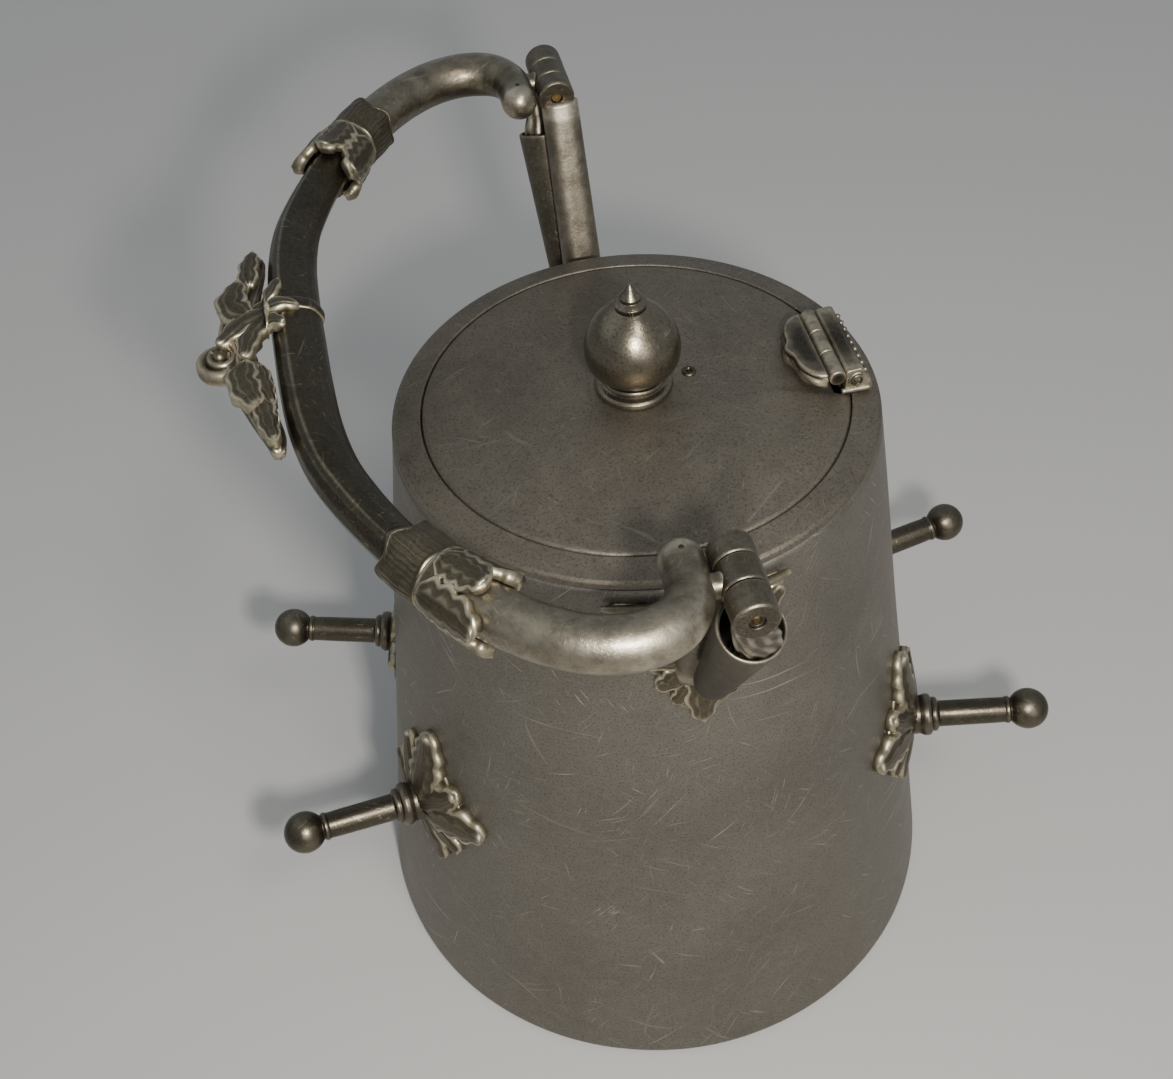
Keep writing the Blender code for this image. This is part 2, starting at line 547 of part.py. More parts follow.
peg_names = (("front_right", FRONT, 0.0), ("back_right", BACK, 0.0),
             ("back_left", FRONT, math.pi), ("front_left", BACK, math.pi))
for label, side, half_turn in peg_names:
    azimuth = half_turn + side * PEG_ROOT_ANGLE
    root = wall_radius(PEG_HEIGHT)
    at = (root * math.cos(azimuth), root * math.sin(azimuth), PEG_HEIGHT)
    aim = half_turn + side * PEG_AXIS_ANGLE
    frame = empty("peg_frame_" + label, at, parent=peg_frame)
    frame.rotation_euler = (0, -PEG_TILT, aim)

    bore = as_cutter(cylinder("peg_bore_" + label, PEG_COLLAR_RADIUS + GAP, 54 * MM, pewter_relief, steps=24,
                              axis='X', center=(12 * MM, 0, 0), location=at,
                              rotation=(0, -PEG_TILT, aim)))
    bore.parent = peg_frame
    leaf = wall_leaf("peg_leaf_" + label, lambda a: spoke(PEG_LEAF_OUTLINE, a), PEG_LEAF_RELIEF,
                     PEG_LEAF_EDGE, PEG_HEIGHT, pewter_relief, side, location=at,
                     rotation=(0, 0, azimuth), parent=peg_frame)
    boolean(leaf, bore, 'DIFFERENCE')
    boolean(leaf, leaf_clear, 'DIFFERENCE')

    ball = [(0.0, PEG_REACH + PEG_BALL_RADIUS)]
    for k in range(1, 6):
        turn = math.radians(k * 27.8)
        ball.append((PEG_BALL_RADIUS * math.sin(turn), PEG_REACH + PEG_BALL_RADIUS * math.cos(turn)))
    neck = PEG_REACH - PEG_BALL_RADIUS * 0.86
    collar_end = PEG_COLLAR_START + PEG_COLLAR_LENGTH
    peg = turned("peg_" + label, ball + [
        (PEG_ROD_RADIUS - 0.5 * MM, neck), (PEG_ROD_RADIUS, neck - 0.8 * MM),
        (PEG_ROD_RADIUS, collar_end + 0.6 * MM),
        (PEG_COLLAR_RADIUS - 1.2 * MM, collar_end), (PEG_COLLAR_RADIUS - 1.0 * MM, collar_end - 1.5 * MM),
        (PEG_COLLAR_RADIUS, collar_end - 1.8 * MM), (PEG_COLLAR_RADIUS, -6 * MM), (0.0, -6 * MM),
    ], pewter_turned, steps=20, rotation=(0, math.pi / 2, 0), parent=frame)
    hug = wall_cone("peg_hug_" + label, GAP, PEG_HEIGHT - 40 * MM, PEG_HEIGHT + 40 * MM)
    boolean(peg, hug, 'DIFFERENCE')


# ---------------------------------------------------------------- handle posts, front and back
def knuckle_at(name, y0, y1, mat, steps=26):
    """Knuckle of the pivot between two distances along the pivot line."""
    low, high = min(y0, y1), max(y0, y1)
    return cylinder(name, KNUCKLE_RADIUS, high - low, mat, steps=steps, axis='Y',
                    center=(0, (low + high) / 2, 0), location=(0, 0, PIVOT_Z))


pivot_bore = as_cutter(cylinder("pivot_bore", PIVOT_PIN_RADIUS + GAP, PIVOT_OUTER * 2.4, pewter_cast,
                                steps=20, axis='Y', location=(0, 0, PIVOT_Z)))
foot_cone = wall_cone("foot_cone", FOOT_CLEAR, POST_LEAF_HEIGHT - 70 * MM, TOP)

arm_top_z = PIVOT_Z - KNUCKLE_RADIUS * 0.55
for side, label in ((FRONT, "front"), (BACK, "back")):
    frame = empty("post_frame_" + label, (0, 0, 0), math.pi if side == FRONT else 0.0, parent=can)

    # upright: a flattened bar that leans out from the wall and carries the inner knuckle
    foot = Vector((ARM_OFFSET_X, ARM_FOOT_OUT, TOP - ARM_FOOT_DROP))
    head = Vector((ARM_OFFSET_X * 0.6, ARM_TOP_OUT, arm_top_z))
    path = smooth_path([foot, foot.lerp(head, 0.5), head], 4)
    out_dir = Vector((0, 1, 0))

    def arm_section(frac, angle):
        """Rounded bar, a little wider at the foot."""
        wide = ARM_HALF_WIDTH * (1.0 - 0.10 * frac)
        deep = ARM_HALF_DEPTH * (1.06 - 0.06 * frac)
        c, s = math.cos(angle), math.sin(angle)
        return (wide * math.copysign(abs(c) ** 0.72, c), deep * math.copysign(abs(s) ** 0.85, s))

    arm = swept("post_arm_" + label, path, arm_section, out_dir, pewter_cast, parent=frame)
    arm_knuckle = as_cutter(knuckle_at("arm_knuckle_" + label, side * PIVOT_INNER, side * PIVOT_JOINT_A,
                                       pewter_cast))
    boolean(arm, arm_knuckle, 'UNION')
    boolean(arm, pivot_bore, 'DIFFERENCE')
    boolean(arm, foot_cone, 'DIFFERENCE')

    # socket: an open tube that lies along the upright, a web in its mouth carries the outer knuckle
    lean = math.atan2(ARM_TOP_OUT - ARM_FOOT_OUT, arm_top_z - foot.z)
    narrow = (SOCKET_TOP_RADIUS - SOCKET_FOOT_RADIUS) / SOCKET_LENGTH
    beside = ARM_FOOT_OUT + (SOCKET_TOP_RISE + ARM_FOOT_DROP) * math.tan(lean)
    mouth_out = beside + (ARM_HALF_DEPTH + SOCKET_TOP_RADIUS + GAP) / math.cos(lean)
    tip = Vector((SOCKET_OFFSET_X, mouth_out, TOP + SOCKET_TOP_RISE))
    socket = turned("socket_tube_" + label, [
        (SOCKET_TOP_RADIUS - SOCKET_WALL * 0.5, 0.25 * MM), (SOCKET_TOP_RADIUS, -0.3 * MM),
        (SOCKET_FOOT_RADIUS, -SOCKET_LENGTH), (SOCKET_FOOT_RADIUS - SOCKET_WALL, -SOCKET_LENGTH),
        (SOCKET_TOP_RADIUS - SOCKET_WALL, -0.3 * MM),
    ], pewter_cast, steps=28, location=tip, rotation=(-lean - narrow, SOCKET_TOE[side], 0), parent=frame)
    web_path = smooth_path([
        tip + Vector((-1.0 * MM, -4.0 * MM, -12.0 * MM)), tip + Vector((-1.0 * MM, 2.5 * MM, -2.0 * MM)),
        Vector((-1.2 * MM, PIVOT_JOINT_B + 1.7 * MM, PIVOT_Z - KNUCKLE_RADIUS * 2.1)),
        Vector((0, (PIVOT_JOINT_B + PIVOT_OUTER) / 2, PIVOT_Z - KNUCKLE_RADIUS * 0.5)),
    ], 3)

    def web_section(frac, angle):
        """Oval, as wide as the knuckle where it joins it."""
        wide = WEB_HALF_WIDTH + (KNUCKLE_RADIUS * 0.85 - WEB_HALF_WIDTH) * frac
        deep = WEB_HALF_DEPTH + (OUTER_KNUCKLE * 0.36 - WEB_HALF_DEPTH) * frac
        return (wide * math.cos(angle), deep * math.sin(angle))

    web = swept("socket_web_" + label, web_path, web_section, out_dir, pewter_cast, parent=frame)
    as_cutter(web)
    boolean(socket, web, 'UNION')
    socket_knuckle = as_cutter(knuckle_at("socket_knuckle_" + label, side * (PIVOT_JOINT_B + GAP),
                                          side * PIVOT_OUTER, pewter_cast))
    boolean(socket, socket_knuckle, 'UNION')
    boolean(socket, pivot_bore, 'DIFFERENCE')
    boolean(socket, foot_cone, 'DIFFERENCE')

    cylinder("pivot_pin_" + label, PIVOT_PIN_RADIUS, PIVOT_OUTER - PIVOT_INNER - 2 * PIN_RECESS, pin_metal,
             steps=24, axis='Y', location=(0, side * (PIVOT_OUTER + PIVOT_INNER) / 2, PIVOT_Z), parent=can)

    z0 = POST_LEAF_HEIGHT
    root = wall_radius(z0)
    leaf = wall_leaf("post_leaf_" + label, lambda a: spoke(POST_LEAF_OUTLINE, a), POST_LEAF_RELIEF,
                     POST_LEAF_EDGE, z0, pewter_relief, 1.0, around=36,
                     location=(0, side * root, z0), rotation=(0, 0, side * math.pi / 2), parent=can)
    boolean(leaf, leaf_clear, 'DIFFERENCE')

# ---------------------------------------------------------------- swing handle
UP = Vector((0, 0, 1))
LINE_SHIFT = KNUCKLE_RADIUS + HANDLE_END_RADIUS + HANDLE_CLEAR - LINE_START
LINE_SPREAD = PIVOT_JOINT_A / LINE_JOINT
line = [Vector((-x * MM - LINE_SHIFT, y * MM * LINE_SPREAD, 0)) for x, y in HANDLE_LINE]
line += [Vector((p.x, -p.y, 0)) for p in reversed(line[:-1])]
PER_SPAN = 3
centre_line = smooth_path(line, PER_SPAN)
distance = [0.0]
for a, b in zip(centre_line, centre_line[1:]):
    distance.append(distance[-1] + (b - a).length)
HALF_LENGTH = distance[-1] / 2


def at_distance(d):
    """Point and direction on the centre line, d from its middle towards the back end."""
    want = HALF_LENGTH - d
    for i in range(len(distance) - 1):
        if distance[i + 1] >= want:
            t = (want - distance[i]) / (distance[i + 1] - distance[i])
            span = centre_line[i + 1] - centre_line[i]
            return centre_line[i] + span * t, span.normalized()
    return centre_line[-1], (centre_line[-1] - centre_line[-2]).normalized()


GRIP_END = 84.0 * MM               # half length of the grip along its centre line
END_STEP = 0.4 * MM                # short first span, which sets an end square to the line
grip_run = [(GRIP_END - END_STEP) * (1 - k / 11) for k in range(23)]
grip_path = [at_distance(d)[0] for d in [GRIP_END, *grip_run, -GRIP_END]]


def grip_section(frac, angle):
    """Almond section: a soft ridge along the top and the underside, nearer the outer edge."""
    size = 0.80 + 0.20 * math.sin(math.pi * frac) ** 0.8
    c, s = math.cos(angle), math.sin(angle)
    side = GRIP_HALF_WIDTH * math.copysign(abs(c) ** 0.9, c)
    tall = GRIP_HALF_HEIGHT * math.copysign(abs(s) ** 1.15, s) * (1.0 - 0.10 * abs(c))
    return (side * size - 1.6 * MM * s * s, tall * size)


grip = swept("handle_grip", grip_path, grip_section, UP, pewter_cast, location=(0, 0, 0),
             parent=handle_frame)

tube_inner = GRIP_END + GAP
for side, label in ((FRONT, "front"), (BACK, "back")):
    steps = 13
    reach = HALF_LENGTH - tube_inner - END_STEP
    run = [at_distance(side * tube_inner)[0]]
    run += [at_distance(side * (tube_inner + END_STEP + reach * k / (steps - 1)))[0] for k in range(steps)]
    last = run[-1]
    tip_run = (run[-1] - run[-2]).normalized()
    run += [last + tip_run * HANDLE_END_RADIUS * v for v in (0.5, 0.8, 0.95)]

    def tube_section(frac, angle):
        """Round tube, fuller in the bend, closed by a round end."""
        k = frac * (steps + 3)
        radius = HANDLE_END_RADIUS + (HANDLE_TUBE_RADIUS - HANDLE_END_RADIUS) * min(1.0, (steps - k) / 5)
        radius = min(radius, HANDLE_TUBE_RADIUS)
        if k > steps:
            radius = HANDLE_END_RADIUS * math.sqrt(1.0 - (0.5, 0.8, 0.95)[round(k) - steps - 1] ** 2)
        return (radius * math.cos(angle), radius * math.sin(angle))

    tube = swept("handle_end_" + label, run, tube_section, UP, pewter_cast, parent=handle_frame)
    knuckle = as_cutter(knuckle_at("handle_knuckle_" + label, side * (PIVOT_JOINT_A + GAP),
                                   side * PIVOT_JOINT_B, pewter_cast))
    lug_y = side * (PIVOT_JOINT_A + PIVOT_JOINT_B) / 2
    lug = as_cutter(cylinder("handle_lug_" + label, 3.0 * MM, 9.0 * MM, pewter_cast, steps=20, axis='X',
                             location=(-6.0 * MM, lug_y, PIVOT_Z)))
    boolean(tube, lug, 'UNION')
    boolean(tube, knuckle, 'UNION')
    boolean(tube, pivot_bore, 'DIFFERENCE')


def sleeve(name, start, length, radius, lobes, depth, mat, turn=0.0):
    """Cast sleeve round the handle; its far edge is cut into lobes of the given depth.

    start and length run along the centre line from the middle, radius(t) is the outer radius.
    """
    around, along = 24, 3
    bm = bmesh.new()
    bmesh.ops.create_grid(bm, x_segments=around, y_segments=along, size=1.0)
    inner = HANDLE_TUBE_RADIUS * 1.08 + 2 * GAP
    for vert in bm.verts:
        t = (vert.co.y + 1.0) / 2.0
        angle = math.pi * (vert.co.x + 1.0)
        reach = length - depth * (0.5 - 0.5 * math.cos(lobes * (angle + turn)))
        point, tangent = at_distance(start + math.copysign(abs(reach) * t, length))
        across = tangent.cross(UP).normalized()
        size = max(radius(t), inner + 0.6 * MM)
        vert.co = point + across * size * math.cos(angle) + UP * size * math.sin(angle)
    bmesh.ops.remove_doubles(bm, verts=bm.verts, dist=0.00002)
    face_out(bm)
    mesh = bpy.data.meshes.new(name)
    bm.to_mesh(mesh)
    bm.free()
    obj = place(name, mesh, mat, parent=handle_frame)
    shell = obj.modifiers.new("thickness", 'SOLIDIFY')
    shell.thickness = 0.9 * MM
    shell.offset = -1.0
    shell.use_even_offset = True
    return obj


for label, cuff_start, cuff_run, leaf_run in (("back", 89.0 * MM, CUFF_LENGTH, -FERRULE_LENGTH),
                                              ("front", -89.0 * MM, CUFF_LENGTH, -FERRULE_LENGTH)):
    sleeve("cuff_" + label, cuff_start, cuff_run, lambda t: CUFF_RADIUS - 0.7 * MM * (2 * t - 1) ** 2, 4,
           0.0, pewter_relief)
    sleeve("cuff_leaf_" + label, cuff_start - GAP * 2, leaf_run,
           lambda t: CUFF_RADIUS + 0.5 * MM - 0.9 * MM * t, 3, 5.5 * MM, pewter_relief, turn=0.4)

# ---------------------------------------------------------------- scroll ornament on the grip's outer side
grip_mid, _ = at_distance(0.0)
ORNAMENT_X = grip_mid.x - GRIP_HALF_WIDTH - GAP


def rod(name, points, radii, mat):
    """Tapered round rod through the points, as a mesh in the handle frame."""
    data = bpy.data.curves.new(name, 'CURVE')
    data.dimensions = '3D'
    data.bevel_depth = 1.0 * MM
    data.bevel_resolution = 2
    data.use_fill_caps = True
    spline = data.splines.new('POLY')
    spline.points.add(len(points) - 1)
    for slot, p, r in zip(spline.points, points, radii):
        slot.co = (p.x, p.y, p.z, 1.0)
        slot.radius = r / MM
    obj = bpy.data.objects.new(name + "_curve", data)
    scene.collection.objects.link(obj)
    bpy.context.view_layer.update()
    mesh = bpy.data.meshes.new_from_object(obj)
    bpy.data.objects.remove(obj, do_unlink=True)
    bm = bmesh.new()
    bm.from_mesh(mesh)
    bmesh.ops.remove_doubles(bm, verts=bm.verts, dist=0.00001)
    face_out(bm)
    bm.to_mesh(mesh)
    bm.free()
    mesh.name = name
    return place(name, mesh, mat, parent=handle_frame)


def ornament_point(out, along, height=0.0):
    """Point of the ornament: out from the grip's outer side, along the pivot direction, up (mm)."""
    return Vector((ORNAMENT_X - out * MM, along * MM, height * MM))


def loose(obj):
    """Stand a cutter built in the handle frame on its own, at the pivot's height."""
    obj.parent = None
    obj.location = (0, 0, PIVOT_Z)
    return as_cutter(obj)


def stem(name, knots):
    """Scroll stem through (out, along, radius) knots."""
    points = smooth_path([ornament_point(out, along) for out, along, _ in knots], 4)
    fine = smooth_path([Vector((radius, 0, 0)) for _, _, radius in knots], 4)
    return rod(name, points, [max(p.x, 0.4) * MM for p in fine], pewter_relief)


scroll = stem("grip_scroll", [(8.0, -4, 3.6), (9.0, 3, 4.0), (7.6, 11, 3.8), (6.0, 19, 3.2), (3.4, 28, 2.6),
                              (0.6, 37.5, 1.8)])
lower_stem = loose(stem("scroll_lower", [(9.2, 1, 3.2), (8.2, -6, 3.6), (6.2, -14, 3.6), (4.6, -23, 3.0),
                                         (1.6, -37.5, 1.6)]))
boolean(scroll, lower_stem, 'UNION')
volute = [ornament_point(13.0 - 4.6 * math.cos(a), -2.0 + 4.6 * math.sin(a))
          for a in [math.radians(15 * k - 130) for k in range(19)]]
volute_ring = loose(rod("scroll_volute", volute, [2.0 * MM] * len(volute), pewter_relief))
boolean(scroll, volute_ring, 'UNION')
boss = bmesh.new()
bmesh.ops.create_uvsphere(boss, u_segments=14, v_segments=8, radius=3.6 * MM)
bmesh.ops.translate(boss, vec=ornament_point(4.2, -6.5), verts=boss.verts)
boss_mesh = bpy.data.meshes.new("scroll_boss")
boss.to_mesh(boss_mesh)
boss.free()
boolean(scroll, loose(place("scroll_boss", boss_mesh, pewter_relief)), 'UNION')


def swollen(proud):
    """Section of the grip's middle, moved outwards by proud(fraction)."""
    def section(frac, angle):
        side, tall = grip_section(0.5, angle)
        return (side + proud(frac) * math.cos(angle), tall + proud(frac) * math.sin(angle))
    return section


middle_path = [at_distance(44 * MM * (1 - k / 8))[0] for k in range(17)]
grip_room = loose(swept("grip_room", middle_path, swollen(lambda f: GAP), UP, pewter_cast))
boolean(scroll, grip_room, 'DIFFERENCE')

# band tied round the grip beside the scroll's eye
BAND_AT = 11.0 * MM
BAND_HALF = 2.6 * MM
band_path = [at_distance(BAND_AT + BAND_HALF * (1 - k / 3))[0] for k in range(7)]
band = swept("grip_band", band_path, swollen(lambda f: (1.1 + 0.9 * math.sin(math.pi * f)) * MM), UP,
             pewter_relief, parent=handle_frame)
boolean(band, grip_room, 'DIFFERENCE')
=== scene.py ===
"""Looks of the lidded pewter serving can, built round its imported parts.  Metres, +Z up."""
import json
import math

import bmesh
import bpy
import numpy as np
from mathutils import Matrix, Vector


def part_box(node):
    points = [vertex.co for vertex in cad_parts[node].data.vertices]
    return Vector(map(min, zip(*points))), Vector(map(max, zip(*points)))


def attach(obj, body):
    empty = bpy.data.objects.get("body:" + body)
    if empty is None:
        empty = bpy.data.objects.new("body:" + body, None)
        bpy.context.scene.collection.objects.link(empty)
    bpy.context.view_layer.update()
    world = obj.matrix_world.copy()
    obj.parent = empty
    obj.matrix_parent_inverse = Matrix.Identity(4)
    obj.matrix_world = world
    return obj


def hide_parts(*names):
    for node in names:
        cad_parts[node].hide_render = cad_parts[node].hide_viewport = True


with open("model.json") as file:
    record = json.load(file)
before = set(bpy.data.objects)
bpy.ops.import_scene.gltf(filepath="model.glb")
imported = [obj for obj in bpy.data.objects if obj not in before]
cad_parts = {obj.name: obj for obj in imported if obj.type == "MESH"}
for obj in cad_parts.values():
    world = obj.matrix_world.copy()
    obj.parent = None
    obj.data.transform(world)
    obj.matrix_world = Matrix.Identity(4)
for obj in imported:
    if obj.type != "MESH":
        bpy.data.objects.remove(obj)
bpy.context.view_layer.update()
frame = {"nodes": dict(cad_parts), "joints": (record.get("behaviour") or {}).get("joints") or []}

MM = 0.001
TAU = 2.0 * math.pi


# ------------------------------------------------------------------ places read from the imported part
def low(node):
    """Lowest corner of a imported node."""
    return np.array(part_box(node)[0])


def high(node):
    """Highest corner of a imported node."""
    return np.array(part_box(node)[1])


joints = {j["name"]: j for j in frame["joints"]}
PIVOT = np.array(joints["handle_swing"]["pos_m"], float)
LID_PIN = np.array(joints["lid_hinge"]["pos_m"], float)
TOP = high("shoulder_ring")[2] - 2.0 * MM          # outer edge of the shoulder
BASE_R = 90.3 * MM
TOP_R = 65.0 * MM
SEAM_R = 57.0 * MM
GAP = 0.3 * MM
WALL = 1.6 * MM


def wall_r(z):
    """Radius of the tapered wall: a straight line between the base radius and the top radius."""
    return BASE_R + (TOP_R - BASE_R) * z / TOP


# ------------------------------------------------------------------ mesh making
def ease(x):
    """Smooth step: 3x^2 - 2x^3 between 0 and 1."""
    x = np.clip(x, 0.0, 1.0)
    return x * x * (3.0 - 2.0 * x)


def wander(*waves):
    """Sum of a few sine waves, each (amplitude, phase array), for gentle unevenness."""
    return sum(a * np.sin(p) for a, p in waves)


def shell(points, wrap=True, caps=True):
    """Faces of one surface given as rows x columns of points; wrap joins the last column to the first.

    caps closes the first and last row with a fan to their mean point.
    """
    rows, cols = points.shape[:2]
    i, j = np.meshgrid(np.arange(rows - 1), np.arange(cols if wrap else cols - 1), indexing="ij")
    k = (j + 1) % cols
    quads = np.stack([i * cols + j, i * cols + k, (i + 1) * cols + k, (i + 1) * cols + j], -1).reshape(-1, 4)
    verts = points.reshape(-1, 3)
    uv = np.stack([np.stack([j, i], -1), np.stack([j + 1, i], -1), np.stack([j + 1, i + 1], -1),
                   np.stack([j, i + 1], -1)], 2).reshape(-1, 2).astype(float)
    around = np.linalg.norm(np.diff(points, axis=1), axis=2).mean()
    along = np.linalg.norm(np.diff(points, axis=0), axis=2).mean(1)
    reach = np.concatenate([[0.0], np.cumsum(along)])
    uv = np.stack([uv[:, 0] * around, reach[uv[:, 1].astype(int)]], -1)
    tris = np.zeros((0, 3), int)
    if caps:
        verts = np.concatenate([verts, points[0].mean(0)[None], points[-1].mean(0)[None]])
        a = np.arange(cols)
        b = (a + 1) % cols
        n = rows * cols
        tris = np.concatenate([np.stack([np.full(cols, n), b, a], -1),
                               np.stack([np.full(cols, n + 1), a + n - cols, b + n - cols], -1)])
        fan = np.repeat(np.array([[0.0, 0.0]]), len(tris) * 3, 0)
        uv = np.concatenate([uv, fan])
    return verts, quads, tris, uv


def build(name, shells, material, body, stands_for=()):
    """One mesh object from a list of shells, riding on a body, with a worn/hollow attribute.

    The attribute "wear" is how far each point stands proud of the average of its neighbourhood,
    measured along its normal: 1 on rubbed edges, 0 in hollows, 0.5 on flat parts.
    """
    verts = []
    faces = []
    uvs = []
    start = 0
    for v, q, t, uv in shells:
        verts.append(v)
        faces += (q + start).tolist() + (t + start).tolist()
        uvs.append(uv)
        start += len(v)
    mesh = bpy.data.meshes.new(name)
    mesh.from_pydata(np.concatenate(verts).tolist(), [], faces)
    layer = mesh.uv_layers.new(name="surface")
    layer.data.foreach_set("uv", np.concatenate(uvs).astype(np.float32).ravel())
    bm = bmesh.new()
    bm.from_mesh(mesh)
    bmesh.ops.remove_doubles(bm, verts=bm.verts, dist=2e-7)
    bmesh.ops.recalc_face_normals(bm, faces=bm.faces)
    if bm.calc_volume(signed=True) < 0.0:
        bmesh.ops.reverse_faces(bm, faces=bm.faces)
    bm.to_mesh(mesh)
    bm.free()
    mesh.shade_smooth()
    obj = bpy.data.objects.new(name, mesh)
    bpy.context.scene.collection.objects.link(obj)
    mark_wear(mesh)
    mesh.materials.append(material)
    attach(obj, body)
    if stands_for:
        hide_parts(*stands_for)
    return obj


def mark_wear(mesh, rounds=10, full=0.45 * MM):
    """Store how far each point stands out of its neighbours' running mean, scaled to 0..1."""
    n = len(mesh.vertices)
    co = np.zeros(n * 3, np.float32)
    mesh.vertices.foreach_get("co", co)
    co = co.reshape(-1, 3).astype(float)
    normal = np.zeros(n * 3, np.float32)
    mesh.vertices.foreach_get("normal", normal)
    normal = normal.reshape(-1, 3)
    e = np.zeros(len(mesh.edges) * 2, np.int32)
    mesh.edges.foreach_get("vertices", e)
    e = e.reshape(-1, 2)
    count = np.bincount(e.ravel(), minlength=n).clip(1)[:, None]
    mean = co.copy()
    for _ in range(rounds):
        total = np.stack([np.bincount(e[:, 0], mean[e[:, 1], k], n)
                          + np.bincount(e[:, 1], mean[e[:, 0], k], n) for k in range(3)], -1)
        mean = total / count
    proud = ((co - mean) * normal).sum(1)
    wear = np.clip(0.5 + 0.5 * proud / full, 0.0, 1.0)
    layer = mesh.attributes.new("wear", 'FLOAT', 'POINT')
    layer.data.foreach_set("value", wear.astype(np.float32))


def rounded(points, radius=0.5 * MM, step=0.25 * MM):
    """Open polyline resampled every step and smoothed by a moving mean, which rounds its corners."""
    p = np.array(points, float)
    d = np.concatenate([[0.0], np.cumsum(np.linalg.norm(np.diff(p, axis=0), axis=1))])
    n = max(int(d[-1] / step), 4)
    t = np.linspace(0.0, d[-1], n + 1)
    fine = np.stack([np.interp(t, d, p[:, k]) for k in range(p.shape[1])], -1)
    reach = max(int(radius / step), 1)
    kernel = np.hanning(2 * reach + 3)[1:-1]
    kernel /= kernel.sum()
    padded = np.concatenate([2 * fine[0] - fine[reach:0:-1], fine, 2 * fine[-1] - fine[-2:-reach - 2:-1]])
    return np.stack([np.convolve(padded[:, k], kernel, "valid") for k in range(p.shape[1])], -1)


def above(base, pairs):
    """Profile points (radius, height over base), given in mm."""
    return [(r * MM, base + h * MM) for r, h in pairs]


def axis_line(points, radius, step):
    """Rounded profile whose two ends are brought back onto the axis."""
    line = rounded(points, radius, step)
    line[[0, -1], 0] = 0.0
    return line


def lathe(profile, segments=192, place=None, ripple=None):
    """Profile (radius, height) spun about Z: (r cos a, r sin a, z); place is a 4x4 matrix for the result."""
    a = np.arange(segments) * TAU / segments
    r = np.abs(profile[:, 0])[:, None]
    z = profile[:, 1][:, None]
    if ripple is not None:
        r = r + ripple(a[None, :], z)
    points = np.stack([r * np.cos(a), r * np.sin(a), np.broadcast_to(z, (len(profile), segments))], -1)
    if place is not None:
        m = np.array(place)
        points = points @ m[:3, :3].T + m[:3, 3]
    closed = profile[0, 0] > 1e-6 and profile[-1, 0] > 1e-6
    if closed:
        points = np.concatenate([points, points[:1]])
    return shell(points, True, not closed)


def through(knots, count):
    """Catmull-Rom curve through the knots, resampled to count evenly spaced points."""
    k = np.array(knots, float)
    ext = np.concatenate([2 * k[:1] - k[1:2], k, 2 * k[-1:] - k[-2:-1]])
    t = np.linspace(0.0, 1.0, 25)[:-1][:, None]
    spans = [0.5 * (2 * b + (c - a) * t + (2 * a - 5 * b + 4 * c - d) * t ** 2
                    + (3 * b - a - 3 * c + d) * t ** 3)
             for a, b, c, d in zip(ext, ext[1:], ext[2:], ext[3:])]
    p = np.concatenate(spans + [k[-1:]])
    d = np.concatenate([[0.0], np.cumsum(np.linalg.norm(np.diff(p[:, :3], axis=0), axis=1))])
    want = np.linspace(0.0, d[-1], count)
    return np.stack([np.interp(want, d, p[:, i]) for i in range(p.shape[1])], -1)


def unit(v):
    """Vectors scaled to length one."""
    return v / np.linalg.norm(v, axis=-1, keepdims=True).clip(1e-12)


def carried(path, section, up, caps=True):
    """Section (rows x columns x 2) carried along the path: point + side * u + up' * v.

    side is tangent x up and up' is side x tangent, so the section stays square to the path.
    """
    tangent = unit(np.gradient(path, axis=0))
    side = unit(np.cross(tangent, up))
    over = np.cross(side, tangent)
    points = path[:, None] + side[:, None] * section[..., :1] + over[:, None] * section[..., 1:]
    return shell(points, True, caps)


def circle(columns=48):
    """Angles evenly spaced round a circle."""
    return np.arange(columns) * TAU / columns


def polar(r, a):
    """Plane points (r cos a, r sin a)."""
    return np.stack([r * np.cos(a), r * np.sin(a)], -1)


def round_section(radii, columns=48):
    """Circular sections of the given radii, one row for each: (r cos a, r sin a)."""
    return polar(np.array(radii)[:, None], circle(columns))


